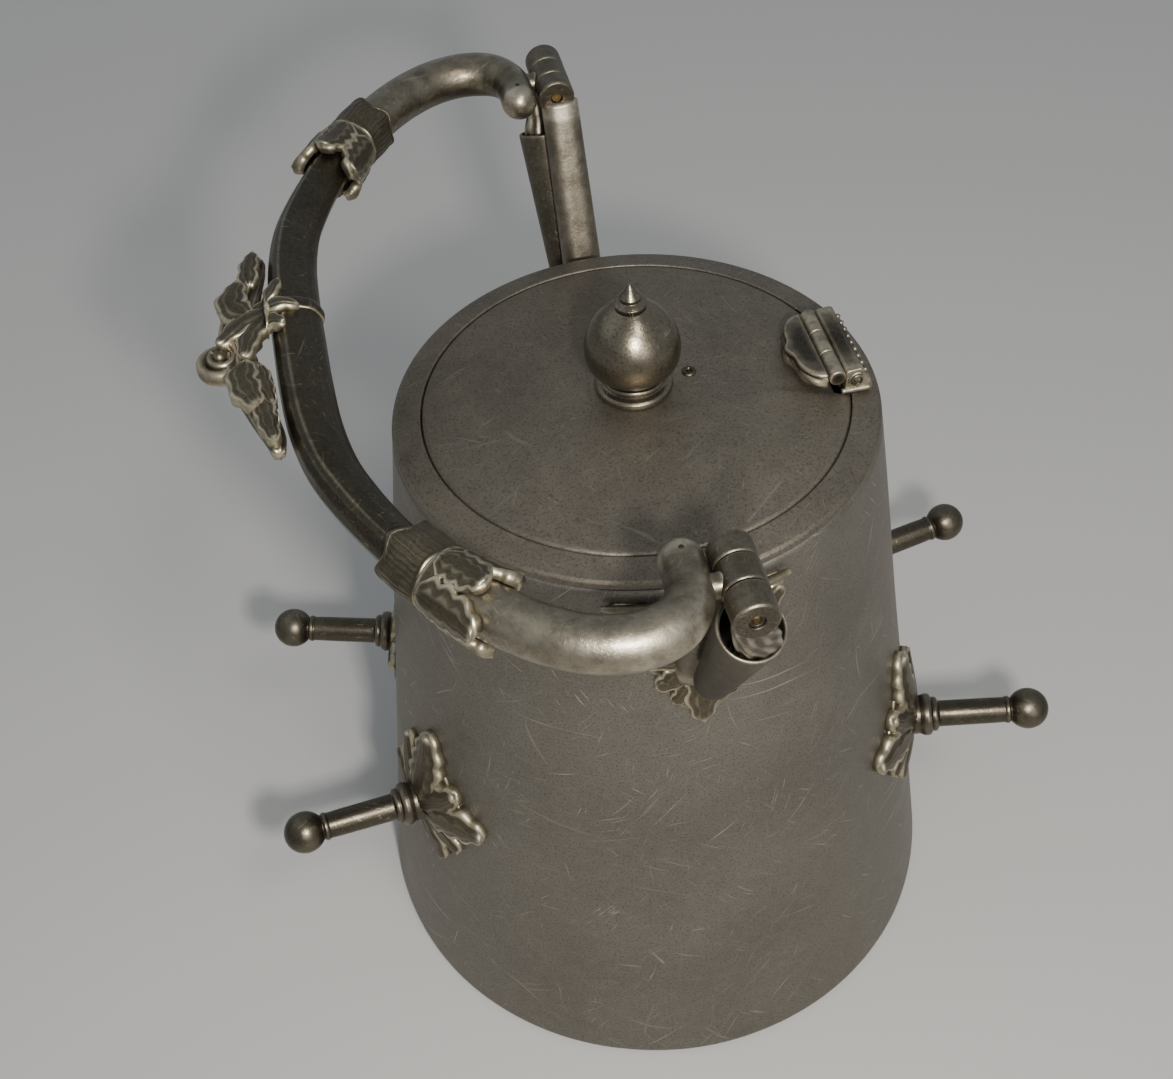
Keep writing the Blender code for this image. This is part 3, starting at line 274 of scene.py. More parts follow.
def leaf(spine, width, crown, curl=0.0, lobes=5, base=None, rows=64, cols=33, cut=0.22, vein=0.35 * MM):
    """Acanthus leaf: a closed lens of surface along a spine of (u, v, w) knots, w being the height.

    With s from root to tip and q from edge to edge, half width = width * rise(s) * fall(s) * (1 - cut *
    notch(s)), height = spine height + crown (1 - |q|^2.2) - midrib groove + ridges that run from root to
    tip, cos(2 pi 2.3 |q|^0.85), a little wavy + curl |q|^6 at the edge; the underside drops to base.
    """
    p = through(spine, rows)
    s = np.linspace(0.0, 1.0, rows)[:, None]
    q = np.linspace(-1.0, 1.0, cols)[None, :]
    flat = p[:, :2]
    tangent = unit(np.gradient(flat, axis=0))
    side = np.stack([tangent[:, 1], -tangent[:, 0]], -1)
    rise = np.minimum(1.0, (s / 0.30 + 0.25)) ** 0.7
    fall = np.sqrt(np.clip(1.0 - np.clip((s - 0.45) / 0.55, 0, 1) ** 2.2, 0.0, 1.0))
    notch = (0.5 - 0.5 * np.cos(TAU * (lobes * s + 0.2))) ** 1.4
    half = width * rise * fall * (1.0 - cut * notch * ease(s * 3.0))
    half = np.maximum(half, 0.02 * MM)
    phase = TAU * 2.3 * np.abs(q) ** 0.85 + 0.10 * np.sin(TAU * lobes * s + 1.0 + 1.5 * q)
    ribs = 0.24 * vein * np.cos(phase) * ease(6.0 * s) * ease(4.0 * (1.0 - s) + 0.2) * (np.abs(q) < 0.97)
    groove = vein * 1.3 * np.exp(-(q / 0.07) ** 2) * (1.0 - s)
    lift = p[:, 2:3] + crown * (1.0 - np.abs(q) ** 2.2) - groove + ribs + curl * np.abs(q) ** 6
    u = flat[:, 0:1] + side[:, 0:1] * half * q
    v = flat[:, 1:2] + side[:, 1:2] * half * q
    under = np.minimum(p[:, 2:3] - 0.9 * MM, lift - 0.7 * MM) if base is None else np.full_like(lift, base)
    top = np.stack([u, v, lift], -1)
    low_side = np.stack([u, v, np.broadcast_to(under, lift.shape)], -1)[:, ::-1]
    return np.concatenate([top, low_side], 1)


def on_wall(points, azimuth, z0):
    """Local (sideways, up, off the wall) wrapped round the tapered wall at an azimuth and height."""
    z = z0 + points[..., 1]
    r = wall_r(z) + points[..., 2]
    a = azimuth + points[..., 0] / wall_r(z0)
    return np.stack([r * np.cos(a), r * np.sin(a), z], -1)


# ------------------------------------------------------------------ materials
def linear(code):
    """Linear RGBA of an sRGB hex colour."""
    c = np.array([int(code[k:k + 2], 16) / 255.0 for k in (1, 3, 5)])
    c = np.where(c <= 0.04045, c / 12.92, ((c + 0.055) / 1.055) ** 2.4)
    return (*c.tolist(), 1.0)


def add(tree, kind, inputs=(), **settings):
    """Adds a node with its settings; inputs are (socket, value or another node's output) pairs."""
    made = tree.nodes.new(kind)
    for key, value in settings.items():
        setattr(made, key, value)
    for socket, value in inputs:
        if isinstance(value, bpy.types.NodeSocket):
            tree.links.new(value, made.inputs[socket])
        else:
            made.inputs[socket].default_value = value
    return made


def ramp(tree, factor, stops):
    """Colour ramp with (place, grey or colour) stops."""
    made = add(tree, "ShaderNodeValToRGB", [(0, factor)])
    elements = made.color_ramp.elements
    while len(elements) < len(stops):
        elements.new(0.5)
    for element, (at, colour) in zip(elements, stops):
        element.position = at
        element.color = colour if not isinstance(colour, float) else (colour, colour, colour, 1.0)
    return made.outputs["Color"]


def blend(tree, factor, a, b):
    """Colour mixed from a to b by the factor; a and b are colours or node outputs."""
    mixed = add(tree, "ShaderNodeMix", [("Factor", factor), ("A", a), ("B", b)], data_type="RGBA")
    return mixed.outputs["Result"]


def math_node(tree, operation, a, b):
    """One arithmetic step."""
    return add(tree, "ShaderNodeMath", [(0, a), (1, b)], operation=operation).outputs[0]


def noise(tree, at, scale, detail=2.0, roughness=0.5, distortion=0.0):
    """Noise value; scale is in cells per metre."""
    return add(tree, "ShaderNodeTexNoise", [("Vector", at), ("Scale", scale), ("Detail", detail),
                                            ("Roughness", roughness), ("Distortion", distortion)]).outputs["Fac"]


SCRATCHES = (  # direction in radians, lines per metre across and along them, the noise's cut-off
    (0.30, 900.0, 24.0, 0.655), (0.85, 1300.0, 70.0, 0.650), (1.35, 800.0, 16.0, 0.670),
    (1.95, 1250.0, 80.0, 0.650), (2.45, 900.0, 30.0, 0.660), (2.95, 1400.0, 55.0, 0.655),
)


def pewter(name, hollow, ground, rubbed, rough=0.42, metal=0.9, relief=0.0, scratch=0.6, uv=False,
           grain=0.25):
    """Old pewter: a tin alloy gone dull grey-brown, paler where hands rub it, dark where dirt stays.

    hollow, ground and rubbed are its colours in the recesses, on the flats and on the worn edges;
    relief is how strongly the wear attribute picks between them, scratch the strength of the scratches.
    """
    mat = bpy.data.materials.new(name)
    mat.use_nodes = True
    tree = mat.node_tree
    shader = tree.nodes["Principled BSDF"]
    shader.inputs["Metallic"].default_value = metal
    if uv:
        at = add(tree, "ShaderNodeUVMap", uv_map="surface").outputs["UV"]
    else:
        at = add(tree, "ShaderNodeTexCoord").outputs["Object"]
    # cloudy patina 35 mm across, and a finer mottle of 4 mm
    cloud = noise(tree, at, 28.0, 6.0, 0.62, 0.4)
    mottle = noise(tree, at, 240.0, 5.0, 0.7)
    colour = blend(tree, ramp(tree, cloud, [(0.30, 0.0), (0.70, 1.0)]), linear(ground[0]), linear(ground[1]))
    mottled = math_node(tree, "MULTIPLY", ramp(tree, mottle, [(0.34, 0.0), (0.68, 1.0)]), grain)
    colour = blend(tree, mottled, colour, linear(ground[2]))
    # dark grit 0.7 mm across, left in the metal's pores
    grit = ramp(tree, noise(tree, at, 1500.0, 3.0, 0.65), [(0.50, 0.0), (0.70, 1.0)])
    colour = blend(tree, math_node(tree, "MULTIPLY", grit, 0.55), colour, linear(hollow))
    # coordinates bent by a slow noise, so that scratches curve a little
    slow = add(tree, "ShaderNodeTexNoise",
               [("Vector", at), ("Scale", 14.0), ("Detail", 1.0)]).outputs["Color"]
    bent = add(tree, "ShaderNodeVectorMath", [(0, slow), (1, (0.035, 0.035, 0.035))], operation="MULTIPLY")
    bent = add(tree, "ShaderNodeVectorMath", [(0, at), (1, bent.outputs[0])], operation="ADD").outputs[0]
    # scratches: noise drawn out along each direction, cut to thin lines, kept to patches 25 mm across
    lines = None
    for turn, across, along, cut in SCRATCHES:
        stretch = (1 / along, 1 / across, 1.0 if uv else 1 / across)
        drawn = add(tree, "ShaderNodeMapping", [("Vector", bent), ("Rotation", (0.0, 0.0, turn)),
                                                ("Scale", stretch)], vector_type="TEXTURE").outputs["Vector"]
        line = ramp(tree, noise(tree, drawn, 1.0), [(cut, 0.0), (cut + 0.06, 1.0)])
        patch = ramp(tree, noise(tree, at, 30.0 + 11.0 * turn), [(0.50, 0.05), (0.66, 1.0)])
        one = math_node(tree, "MULTIPLY", line, patch)
        lines = one if lines is None else math_node(tree, "MAXIMUM", lines, one)
    strength = math_node(tree, "MULTIPLY", lines, scratch)
    if relief > 0.0:
        wear = add(tree, "ShaderNodeAttribute", attribute_name="wear").outputs["Fac"]
        dirty = math_node(tree, "MULTIPLY", ramp(tree, wear, [(0.12, 0.85), (0.46, 0.0)]), relief)
        colour = blend(tree, dirty, colour, linear(hollow))
        broken = math_node(tree, "MULTIPLY", ramp(tree, wear, [(0.57, 0.0), (0.88, 1.0)]),
                           ramp(tree, mottle, [(0.30, 0.35), (0.60, 1.0)]))
        colour = blend(tree, math_node(tree, "MULTIPLY", broken, relief), colour, linear(rubbed))
    colour = blend(tree, strength, colour, linear(rubbed))
    tree.links.new(colour, shader.inputs["Base Color"])
    uneven = add(tree, "ShaderNodeMapRange", [("Value", cloud), ("From Min", 0.3), ("From Max", 0.7),
                                              ("To Min", rough - 0.06), ("To Max", rough + 0.08)]).outputs[0]
    polish = math_node(tree, "MULTIPLY", strength, -0.10)
    tree.links.new(math_node(tree, "ADD", uneven, polish), shader.inputs["Roughness"])
    # skin: hammered waviness 6 mm across, fine pitting 0.9 mm across, and the scratches' furrows
    wavy = add(tree, "ShaderNodeBump", [("Height", noise(tree, at, 160.0)), ("Strength", 0.35),
                                        ("Distance", 0.0003)])
    skin = add(tree, "ShaderNodeBump", [("Height", noise(tree, at, 1100.0, 3.0, 0.6)), ("Strength", 0.55),
                                        ("Distance", 0.00010), ("Normal", wavy.outputs["Normal"])])
    furrow = add(tree, "ShaderNodeBump", [("Height", lines), ("Strength", 0.4), ("Distance", 0.00005),
                                          ("Normal", skin.outputs["Normal"])], invert=True)
    tree.links.new(furrow.outputs["Normal"], shader.inputs["Normal"])
    return mat


# rolled and seamed sheet, dull and much scratched: pale scuffs on an even warm grey
sheet = pewter("rolled_pewter_sheet", "#2a2620", ("#68635a", "#787369", "#898479"), "#b4aea2", rough=0.50,
               metal=0.85, scratch=0.62, uv=True)
# the lid's flat sheet, browner where it has been handled less
lid_sheet = pewter("rolled_pewter_lid", "#2a2620", ("#625b50", "#766e61", "#867e6f"), "#a8a295", rough=0.47,
                   metal=0.85, scratch=0.28)
# sand castings left from the mould, soot-dark in the folds and worn pale on the edges
casting = pewter("cast_pewter_relief", "#2c271d", ("#4c4538", "#5b5343", "#6c6451"), "#b5ab91", rough=0.40,
                 metal=0.9, relief=1.0, scratch=0.15, grain=0.5)
# posts and sockets, a rougher casting left dull; its colours are also darkened as painted shade for the knuckles
# that sit in shadow
post_cast_and_shade = pewter("cast_pewter_post", "#1b1813", ("#453f35", "#544d41", "#665f50"), "#bfb59f", rough=0.42,
                   metal=0.9, relief=0.8, scratch=0.25, grain=0.6)
# the lid hinge, a darker and less handled casting
hinge_cast = pewter("cast_pewter_hinge", "#100e0a", ("#36322a", "#423d34", "#504a3f"), "#b0a68f", rough=0.38,
                    metal=0.9, relief=0.9, scratch=0.2, grain=0.4)
# smooth castings, rubbed by the hand to a soft gleam
smooth = pewter("cast_pewter_smooth", "#241f18", ("#463f34", "#554d3f", "#67604f"), "#c4baa4", rough=0.33,
                metal=0.92, relief=0.7, scratch=0.3)
# the hollow grip, nearly black with handling between its bright ridges
grip_cast = pewter("handled_pewter_grip", "#1c1914", ("#3b362c", "#494337", "#5b5445"), "#c2b697", rough=0.33,
                   metal=0.92, relief=0.9, scratch=0.25, grain=0.4)
# lathe-turned pegs, with the finest skin
turned = pewter("turned_pewter", "#2a2418", ("#433d33", "#534d41", "#665e4f"), "#c0b69d", rough=0.34,
                metal=0.94, relief=0.6, scratch=0.25)
# the turned knob, brighter from use
knob_turned = pewter("turned_pewter_knob", "#2a2418", ("#6c6556", "#7d7464", "#8f8675"), "#d6ccb4", rough=0.27,
                     metal=0.95, relief=0.6, scratch=0.25)
# pins peened over at the ends, darkened brass
pin = pewter("darkened_brass_pin", "#2a2010", ("#57492e", "#665739", "#746444"), "#a08a5e", rough=0.42,
             metal=1.0, relief=0.4, scratch=0.2)


# ------------------------------------------------------------------ body
def hand_raised(a, z):
    """Slight unevenness of the sheet: four slow waves round and up the wall, at most 0.2 mm."""
    return MM * wander((0.07, 3 * a + 40 * z), (0.05, 5 * a - 65 * z + 1.0), (0.04, 8 * a + 90 * z + 2.0),
                       (0.03, 13 * a - 30 * z + 4.0))


rim_under = high("body_wall")[2]
rim_r = wall_r(rim_under)
wall_profile = rounded([(rim_r - WALL + 0.1 * MM, rim_under), (rim_r, rim_under), (wall_r(0.9 * MM), 0.9 * MM),
                        (BASE_R - 0.7 * MM, 0.05 * MM), (BASE_R - WALL, 0.05 * MM),
                        (rim_r - WALL - 0.1 * MM, rim_under - 0.05 * MM)], 0.4 * MM, 1.2 * MM)
build("can_wall", [lathe(wall_profile, 220, ripple=hand_raised)], sheet, "can", ["body_wall"])

base_r = BASE_R - WALL - GAP
base_profile = axis_line([(0.0, 1.8 * MM), (base_r - 4 * MM, 1.8 * MM), (base_r - 0.4 * MM, 1.7 * MM),
                          (base_r - 0.1 * MM, 0.1 * MM), (base_r - 3 * MM, 0.1 * MM),
                          (base_r - 5 * MM, 0.5 * MM), (0.0, 0.5 * MM)], 0.5 * MM, 0.8 * MM)
build("can_base", [lathe(base_profile, 160)], lid_sheet, "can", ["base_disc"])

seat_z = TOP + 0.1 * MM
ring_low = low("shoulder_ring")[2]
ring_profile = rounded([(SEAM_R + 0.12 * MM, TOP + 0.3 * MM), (SEAM_R + 0.12 * MM, TOP + 1.75 * MM),
                        (SEAM_R + 0.5 * MM, TOP + 2.0 * MM), (TOP_R - 2.2 * MM, TOP + 0.95 * MM),
                        (TOP_R - 0.9 * MM, TOP + 0.62 * MM), (TOP_R - 0.1 * MM, TOP - 0.1 * MM),
                        (TOP_R + 0.12 * MM, TOP - 0.9 * MM), (TOP_R + 0.15 * MM, ring_low + 0.1 * MM),
                        (SEAM_R - 2.4 * MM, ring_low + 0.1 * MM), (SEAM_R - 2.4 * MM, TOP - 0.1 * MM),
                        (SEAM_R, TOP - 0.1 * MM)], 0.22 * MM, 0.16 * MM)
build("shoulder", [lathe(ring_profile, 240)], lid_sheet, "can", ["shoulder_ring"])

# ------------------------------------------------------------------ lid
HINGE_HALF = high("rim_hinge_leaf")[1]
seam_z = TOP + 2.0 * MM


def crown(r):
    """Height of the lid at radius r: a shallow parabola 4 mm high over the seam."""
    return seam_z + 4.0 * MM * (1.0 - (r / SEAM_R) ** 2)


lid_r = SEAM_R - 0.15 * MM
lid_line = axis_line([(0.0, crown(0)), *[(r * MM, crown(r * MM)) for r in range(6, 54, 6)],
                      (lid_r - 0.7 * MM, crown(lid_r) + 0.05 * MM), (lid_r, crown(lid_r) - 0.5 * MM),
                      (lid_r, seat_z + GAP), (lid_r - 3.0 * MM, seat_z + GAP),
                      (lid_r - 4.5 * MM, crown(lid_r - 4.5 * MM) - WALL),
                      *[(r * MM, crown(r * MM) - WALL) for r in range(48, 0, -8)], (0.0, crown(0) - WALL)],
                     0.25 * MM, 0.5 * MM)
turns = circle(288)
lid_grid_r = np.abs(lid_line[:, 0])[:, None] * np.ones(288)[None, :]
# the edge is cut straight where the hinge's knuckles lie
chord = LID_PIN[0] - 0.2 * MM
across = lid_r * np.abs(np.sin(turns))
cut_in = (np.cos(turns) > 0) * ease((HINGE_HALF + 0.9 * MM - across) / (0.8 * MM))
limit = lid_r + (chord / np.cos(turns).clip(0.5) - lid_r) * cut_in
lid_grid_r = lid_grid_r * (limit / lid_r)[None, :]
dent = MM * wander((0.10, 2 * turns + 1.0), (0.06, 5 * turns))[None, :] * ease(lid_grid_r / SEAM_R * 1.4) \
    * ease((lid_r - lid_grid_r) / (10 * MM))
lid_points = np.stack([lid_grid_r * np.cos(turns), lid_grid_r * np.sin(turns),
                       lid_line[:, 1:2] + dent], -1)
build("lid", [shell(lid_points)], lid_sheet, "lid", ["lid_disc"])

vent = (low("vent_eyelet") + high("vent_eyelet")) / 2
vent_at = Matrix.Translation((vent[0], vent[1], crown(np.hypot(vent[0], vent[1]))))
vent_line = rounded(above(0.0, [(0.75, 0.15), (1.0, 0.55), (1.6, 0.55), (1.95, 0.25), (2.0, -0.3),
                                (0.75, -0.3)]), 0.15 * MM, 0.08 * MM)
build("vent", [lathe(vent_line, 48, vent_at)], smooth, "lid", ["vent_eyelet"])
# painted shade of the vent's bore: a matt, nearly black disc that stands in for the dark of the hole
bore_shade = pewter("soot_in_vent", "#0d0b08", ("#14110d", "#14110d", "#1a1611"), "#1a1611", rough=0.8,
                   metal=0.2, scratch=0.0)
build("vent_hole", [lathe(np.array([(0.0, 0.12), (0.8, 0.12), (0.8, -0.4), (0.0, -0.4)]) * MM, 32, vent_at)],
      bore_shade, "lid")

# ------------------------------------------------------------------ knob: foot, acorn and tip
foot_z = low("knob_foot")[2]
foot_top = high("knob_foot")[2]
foot_line = axis_line(above(foot_top, [(0, 0), (8.5, 0), (8.9, -0.7), (8.2, -1.3), (7.3, -2.0)])
                      + above(foot_z, [(7.4, 2.9), (8.4, 2.3), (9.5, 2.0), (10.1, 1.5), (10.3, 0.7),
                                       (10.0, -0.2), (0, -0.2)]), 0.3 * MM, 0.12 * MM)
build("knob_base", [lathe(foot_line, 144)], knob_turned, "lid", ["knob_foot"])

bulb_low = low("knob_bulb")[2]
bulb_high = high("knob_bulb")[2]
bulb_r = 12.6 * MM
# acorn: a curve through the neck, the widest point just under half its height, and the collar
acorn_height = bulb_high - bulb_low
acorn = through([(0.575, 0.0), (0.80, 0.09), (0.955, 0.22), (1.0, 0.38), (0.965, 0.54), (0.86, 0.69),
                 (0.70, 0.82), (0.52, 0.92), (0.34, 1.0)], 90) * [bulb_r, acorn_height] + [0.0, bulb_low]
acorn = axis_line([(0.0, bulb_high), *acorn[::-1].tolist(), *above(bulb_low, [(7.1, -0.4), (0, -0.4)])],
                  0.25 * MM, 0.2 * MM)
build("knob_acorn", [lathe(acorn, 160)], knob_turned, "lid", ["knob_bulb"])

tip_low = low("knob_finial")[2]
tip_high = high("knob_finial")[2]
tip_line = axis_line(above(tip_high, [(0, 0), (0.5, -0.25), (1.9, -2.6)])
                     + above(tip_low, [(2.9, 2.9), (2.7, 1.9), (3.6, 1.4), (4.3, 0.9), (4.2, 0.2),
                                       (3.5, -0.5), (0, -0.5)]), 0.18 * MM, 0.08 * MM)
build("knob_tip", [lathe(tip_line, 96)], knob_turned, "lid", ["knob_finial"])

# ------------------------------------------------------------------ lid hinge
shield_top = LID_PIN[2] + 1.9 * MM
shield_right = LID_PIN[0] - 2.65 * MM
shield_reach = shield_right - low("lid_hinge_shield")[0]


def shield_outline(angle):
    """Half plate: an ogee whose sides dip in before they meet in a soft point on the middle line."""
    x = np.cos(angle)
    y = np.abs(np.sin(angle))
    r = 1.0 / np.sqrt((x / shield_reach) ** 2 + (y / (HINGE_HALF - 0.4 * MM)) ** 2)
    return r * (1.0 - 0.13 * np.sin(math.pi * y) ** 2)


angles = np.linspace(math.pi / 2, 3 * math.pi / 2, 97)
reach = shield_outline(angles)
ring = np.stack([shield_right + np.cos(angles) * reach, np.sin(angles) * reach], -1)
back = np.stack([np.full(25, shield_right), np.linspace(ring[-1, 1], ring[0, 1], 27)[1:-1]], -1)
ring = np.concatenate([ring, back])
middle = np.array([shield_right - shield_reach * 0.35, 0.0])
edge_angle = np.arctan2(ring[:, 1], ring[:, 0] - middle[0])
folds = np.where(np.arange(len(ring)) < len(angles), 1.0, 0.0)      # the straight back has none
levels = [  # share of the outline, drop in mm, depth of the edge's folds
    (0.02, 0.0, 0.0), (0.5, 0.0, 0.0), (0.86, -0.02, 0.0), (0.93, -0.05, 0.0), (0.965, -0.35, 0.0),
    (1.0, -0.5, 0.0), (1.0, -0.95, 0.1), (0.985, -1.3, 0.35), (1.015, -1.7, 0.8), (1.05, -2.3, 1.0),
    (1.045, -3.1, 1.0), (1.03, -3.9, 0.8), (0.99, -4.7, 0.5), (0.5, -4.9, 0.0), (0.02, -4.9, 0.0)]
rows = []
for scale, drop, fold in levels:
    wave = 1.0 + 0.035 * fold * np.cos(11 * edge_angle + 2.5 * drop) * folds
    xy = middle + (ring - middle) * (scale * wave)[:, None]
    xy[:, 0] = np.minimum(xy[:, 0], shield_right)
    rows.append(np.concatenate([xy, np.full((len(ring), 1), shield_top + drop * MM)], -1))
shield_points = np.array(rows)
shield_points[..., 2] = np.maximum(shield_points[..., 2],
                                   crown(np.hypot(shield_points[..., 0], shield_points[..., 1])) + 0.05 * MM)


def bar_y(centre_x, centre_z, radius, y0, y1, columns=48):
    """Round bar along Y with softened ends: a circle carried along a straight line."""
    edge = 0.5 * MM
    length = abs(y1 - y0)
    lo = min(y0, y1)
    b = np.linspace(0, math.pi / 2, 6)
    start = np.stack([lo + edge - edge * np.cos(b), radius - edge + edge * np.sin(b)], -1)
    line = np.concatenate([[[lo, radius * 0.35]], start, start[::-1] * [-1, 1] + [2 * lo + length, 0],
                           [[lo + length, radius * 0.35]]])
    a = circle(columns)
    points = np.stack([centre_x + line[:, 1:] * np.cos(a), np.repeat(line[:, :1], columns, 1),
                       centre_z + line[:, 1:] * np.sin(a)], -1)
    return shell(points)


third = HINGE_HALF / 3
barrel = bar_y(LID_PIN[0], LID_PIN[2], 2.3 * MM, -third + 0.15 * MM, third - 0.15 * MM)
build("hinge_shield", [shell(shield_points), barrel], hinge_cast, "lid", ["lid_hinge_shield"])



def block(section, y0, y1, soft=0.35 * MM):
    """Prism: a closed (x, z) outline carried along Y, drawn in a little at both ends."""
    loop = rounded(np.concatenate([section, section[:1]]), soft, 0.18 * MM)[:-1]
    mid = loop.mean(0)
    rows = []
    for y, k in ((y0, 0.4), (y0, 0.93), (y0 + 0.12 * MM, 0.975), (y0 + 0.4 * MM, 1.0), *[
            (y0 + (y1 - y0) * f, 1.0) for f in (0.1, 0.3, 0.5, 0.7, 0.9)], (y1 - 0.4 * MM, 1.0),
            (y1 - 0.12 * MM, 0.975), (y1, 0.93), (y1, 0.4)):
        p = mid + (loop - mid) * k
        rows.append(np.stack([p[:, 0], np.full(len(p), y), p[:, 1]], -1))
    return shell(np.array(rows))


px, pz = LID_PIN[0], LID_PIN[2]
outer = high("rim_hinge_leaf")[0]
# three steps down the outer side
leaf_section = np.array(
    [(px + x * MM, pz + z * MM) for x, z in ((2.2, -4.5), (2.2, 1.3), (2.7, 1.9))]
    + [(outer + x * MM, pz + z * MM) for x, z in (
        (-3.6, 2.2), (-2.6, 1.7), (-2.5, 0.4), (-1.9, -0.1), (-1.5, -1.2), (-0.6, -1.8), (-0.3, -3.4),
        (0.0, -4.0), (0.0, -5.6))])
leaf_parts = [block(leaf_section, -HINGE_HALF, HINGE_HALF),
              bar_y(px, pz, 2.3 * MM, -HINGE_HALF, -third), bar_y(px, pz, 2.3 * MM, third, HINGE_HALF)]
# beads along the stepped side, and a rolled volute with a bar under it on each end
for k in range(9):
    y = -HINGE_HALF + 2.2 * MM + (2 * HINGE_HALF - 4.4 * MM) * k / 8
    a = np.linspace(0, math.pi, 11)
    ball_profile = np.stack([0.75 * MM * np.sin(a), 0.75 * MM * np.cos(a)], -1)
    leaf_parts.append(lathe(ball_profile, 20, Matrix.Translation((outer - 1.6 * MM, y, pz - 0.3 * MM))))
for end in (-1, 1):
    t = np.linspace(0.0, 1.0, 40)
    spin = t * 3.6 * math.pi
    radius = 2.3 * MM * (1 - 0.78 * t)
    roll = np.stack([px + 5.2 * MM + radius * np.cos(spin + 1.0), np.full(40, end * (HINGE_HALF + 0.02 * MM)),
                     pz - 1.4 * MM + radius * np.sin(spin + 1.0)], -1)
    leaf_parts.append(carried(roll, round_section(0.55 * MM * (1 - 0.5 * t), 14), np.array([0.0, 1.0, 0.0])))
    rail = np.stack([np.linspace(px + 1.2 * MM, outer - 0.6 * MM, 12), np.full(12, end * HINGE_HALF),
                     np.full(12, pz - 4.6 * MM)], -1)
    leaf_parts.append(carried(rail, round_section(np.full(12, 0.8 * MM), 14), np.array([0.0, 0.0, 1.0])))
build("hinge_leaf", leaf_parts, hinge_cast, "can", ["rim_hinge_leaf"])
frame["nodes"]["lid_hinge_pin"].data.materials.clear()
frame["nodes"]["lid_hinge_pin"].data.materials.append(pin)

# ------------------------------------------------------------------ pegs and their leaf mounts
PEG_TURN = math.radians(-2.75)
PEG_ROOT = math.radians(24.25)
PEG_AIM = math.radians(11.0)
PEG_TILT = math.radians(4.6)
PEG_Z = 78.5 * MM
REACH = 38.2 * MM
BALL = 6.2 * MM
ROD = 3.95 * MM


def peg_line():
    """Peg profile, tip first: ball, groove, neck bead, plain rod, stepped collar."""
    b = np.linspace(0.0, math.radians(142), 40)
    ball = np.stack([BALL * np.sin(b), REACH + BALL * np.cos(b)], -1)
    neck = ball[-1, 1]
    bead = [(ROD - 0.35 * MM, neck - 0.2 * MM), (ROD + 0.25 * MM, neck - 0.9 * MM),
            (ROD + 0.2 * MM, neck - 1.6 * MM), (ROD - 0.1 * MM, neck - 2.1 * MM)]
    rod = [(ROD, neck - 6 * MM), (ROD + 0.05 * MM, 12.6 * MM), (ROD + 0.1 * MM, 11.4 * MM)]
    collar = above(0.0, [(5.1, 10.9), (5.3, 10.2), (5.2, 9.4), (6.2, 8.9), (6.5, 8.0), (6.4, 7.0), (5.8, 5.6),
                         (6.0, 1.5), (0.0, 1.5)])
    return axis_line([*ball.tolist(), *bead, *rod, *collar], 0.22 * MM, 0.16 * MM)


PEG_LEAVES = [  # knots of the spine (sideways, up, off the wall) in mm, half width, crown, curl, lobes
    ([(1, 3, 3.6), (2, 12, 3.4), (3, 22, 2.4), (3.5, 32.5, 1.7)], 7.2, 2.0, 0.9, 5),
    ([(3, 2, 3.4), (11, 4.5, 3.2), (19, 6.5, 2.3), (27, 7.8, 1.7)], 6.6, 2.0, 0.9, 4),
    ([(2, 3, 4.2), (8, 9, 3.6), (13, 14, 2.7), (16, 17.5, 2.0)], 5.2, 1.7, 0.8, 3),
    ([(3, 0, 3.0), (8, -3, 2.6), (13, -6, 1.9), (17, -8, 1.4)], 4.4, 1.3, 0.6, 3),
    ([(1, -3, 3.0), (4, -8, 2.6), (7.5, -13, 1.9), (9, -18, 1.4)], 4.6, 1.4, 0.6, 3),
    ([(-2, 0, 3.4), (-8, 2, 3.0), (-13, 3.5, 2.2), (-18, 4.5, 1.6)], 5.4, 1.7, 0.7, 4),
    ([(-2, 3, 3.8), (-6, 10, 3.0), (-8.5, 16, 2.1), (-10, 21, 1.6)], 4.8, 1.5, 0.7, 3),
    ([(-2, -3, 3.0), (-5, -7, 2.4), (-8, -10, 1.8), (-10, -13, 1.4)], 4.2, 1.2, 0.5, 3),
]
PEG_PLATE = [  # angle in degrees, reach in mm
    (0, 27), (20, 22), (45, 19), (72, 21), (100, 14), (130, 12), (160, 15), (185, 12), (215, 13), (250, 12),
    (282, 15), (315, 15), (342, 21)]


def plate(table, thickness, swell, columns=120, rows=26):
    """Flat root plate of a mount: radius eased round the table, swelling to a boss at the root."""
    deg = np.array([a for a, _ in table] + [table[0][0] + 360.0])
    reach = np.array([r for _, r in table] + [table[0][1]])
    a = circle(columns)
    k = np.degrees(a)
    i = np.clip(np.searchsorted(deg, k, side="right") - 1, 0, len(deg) - 2)
    f = ease((k - deg[i]) / (deg[i + 1] - deg[i]))
    r = (reach[i] + (reach[i + 1] - reach[i]) * f) * MM
    s = np.linspace(0.02, 1.0, rows)[:, None]
    u = r * s * np.sin(a)
    v = r * s * np.cos(a)
    w = thickness + swell * np.exp(-(r * s / (7.0 * MM)) ** 2)
    top = np.stack([u, v, w], -1)
    base = top[::-1].copy()
    base[..., 2] = 0.05 * MM
    return np.concatenate([top, base])


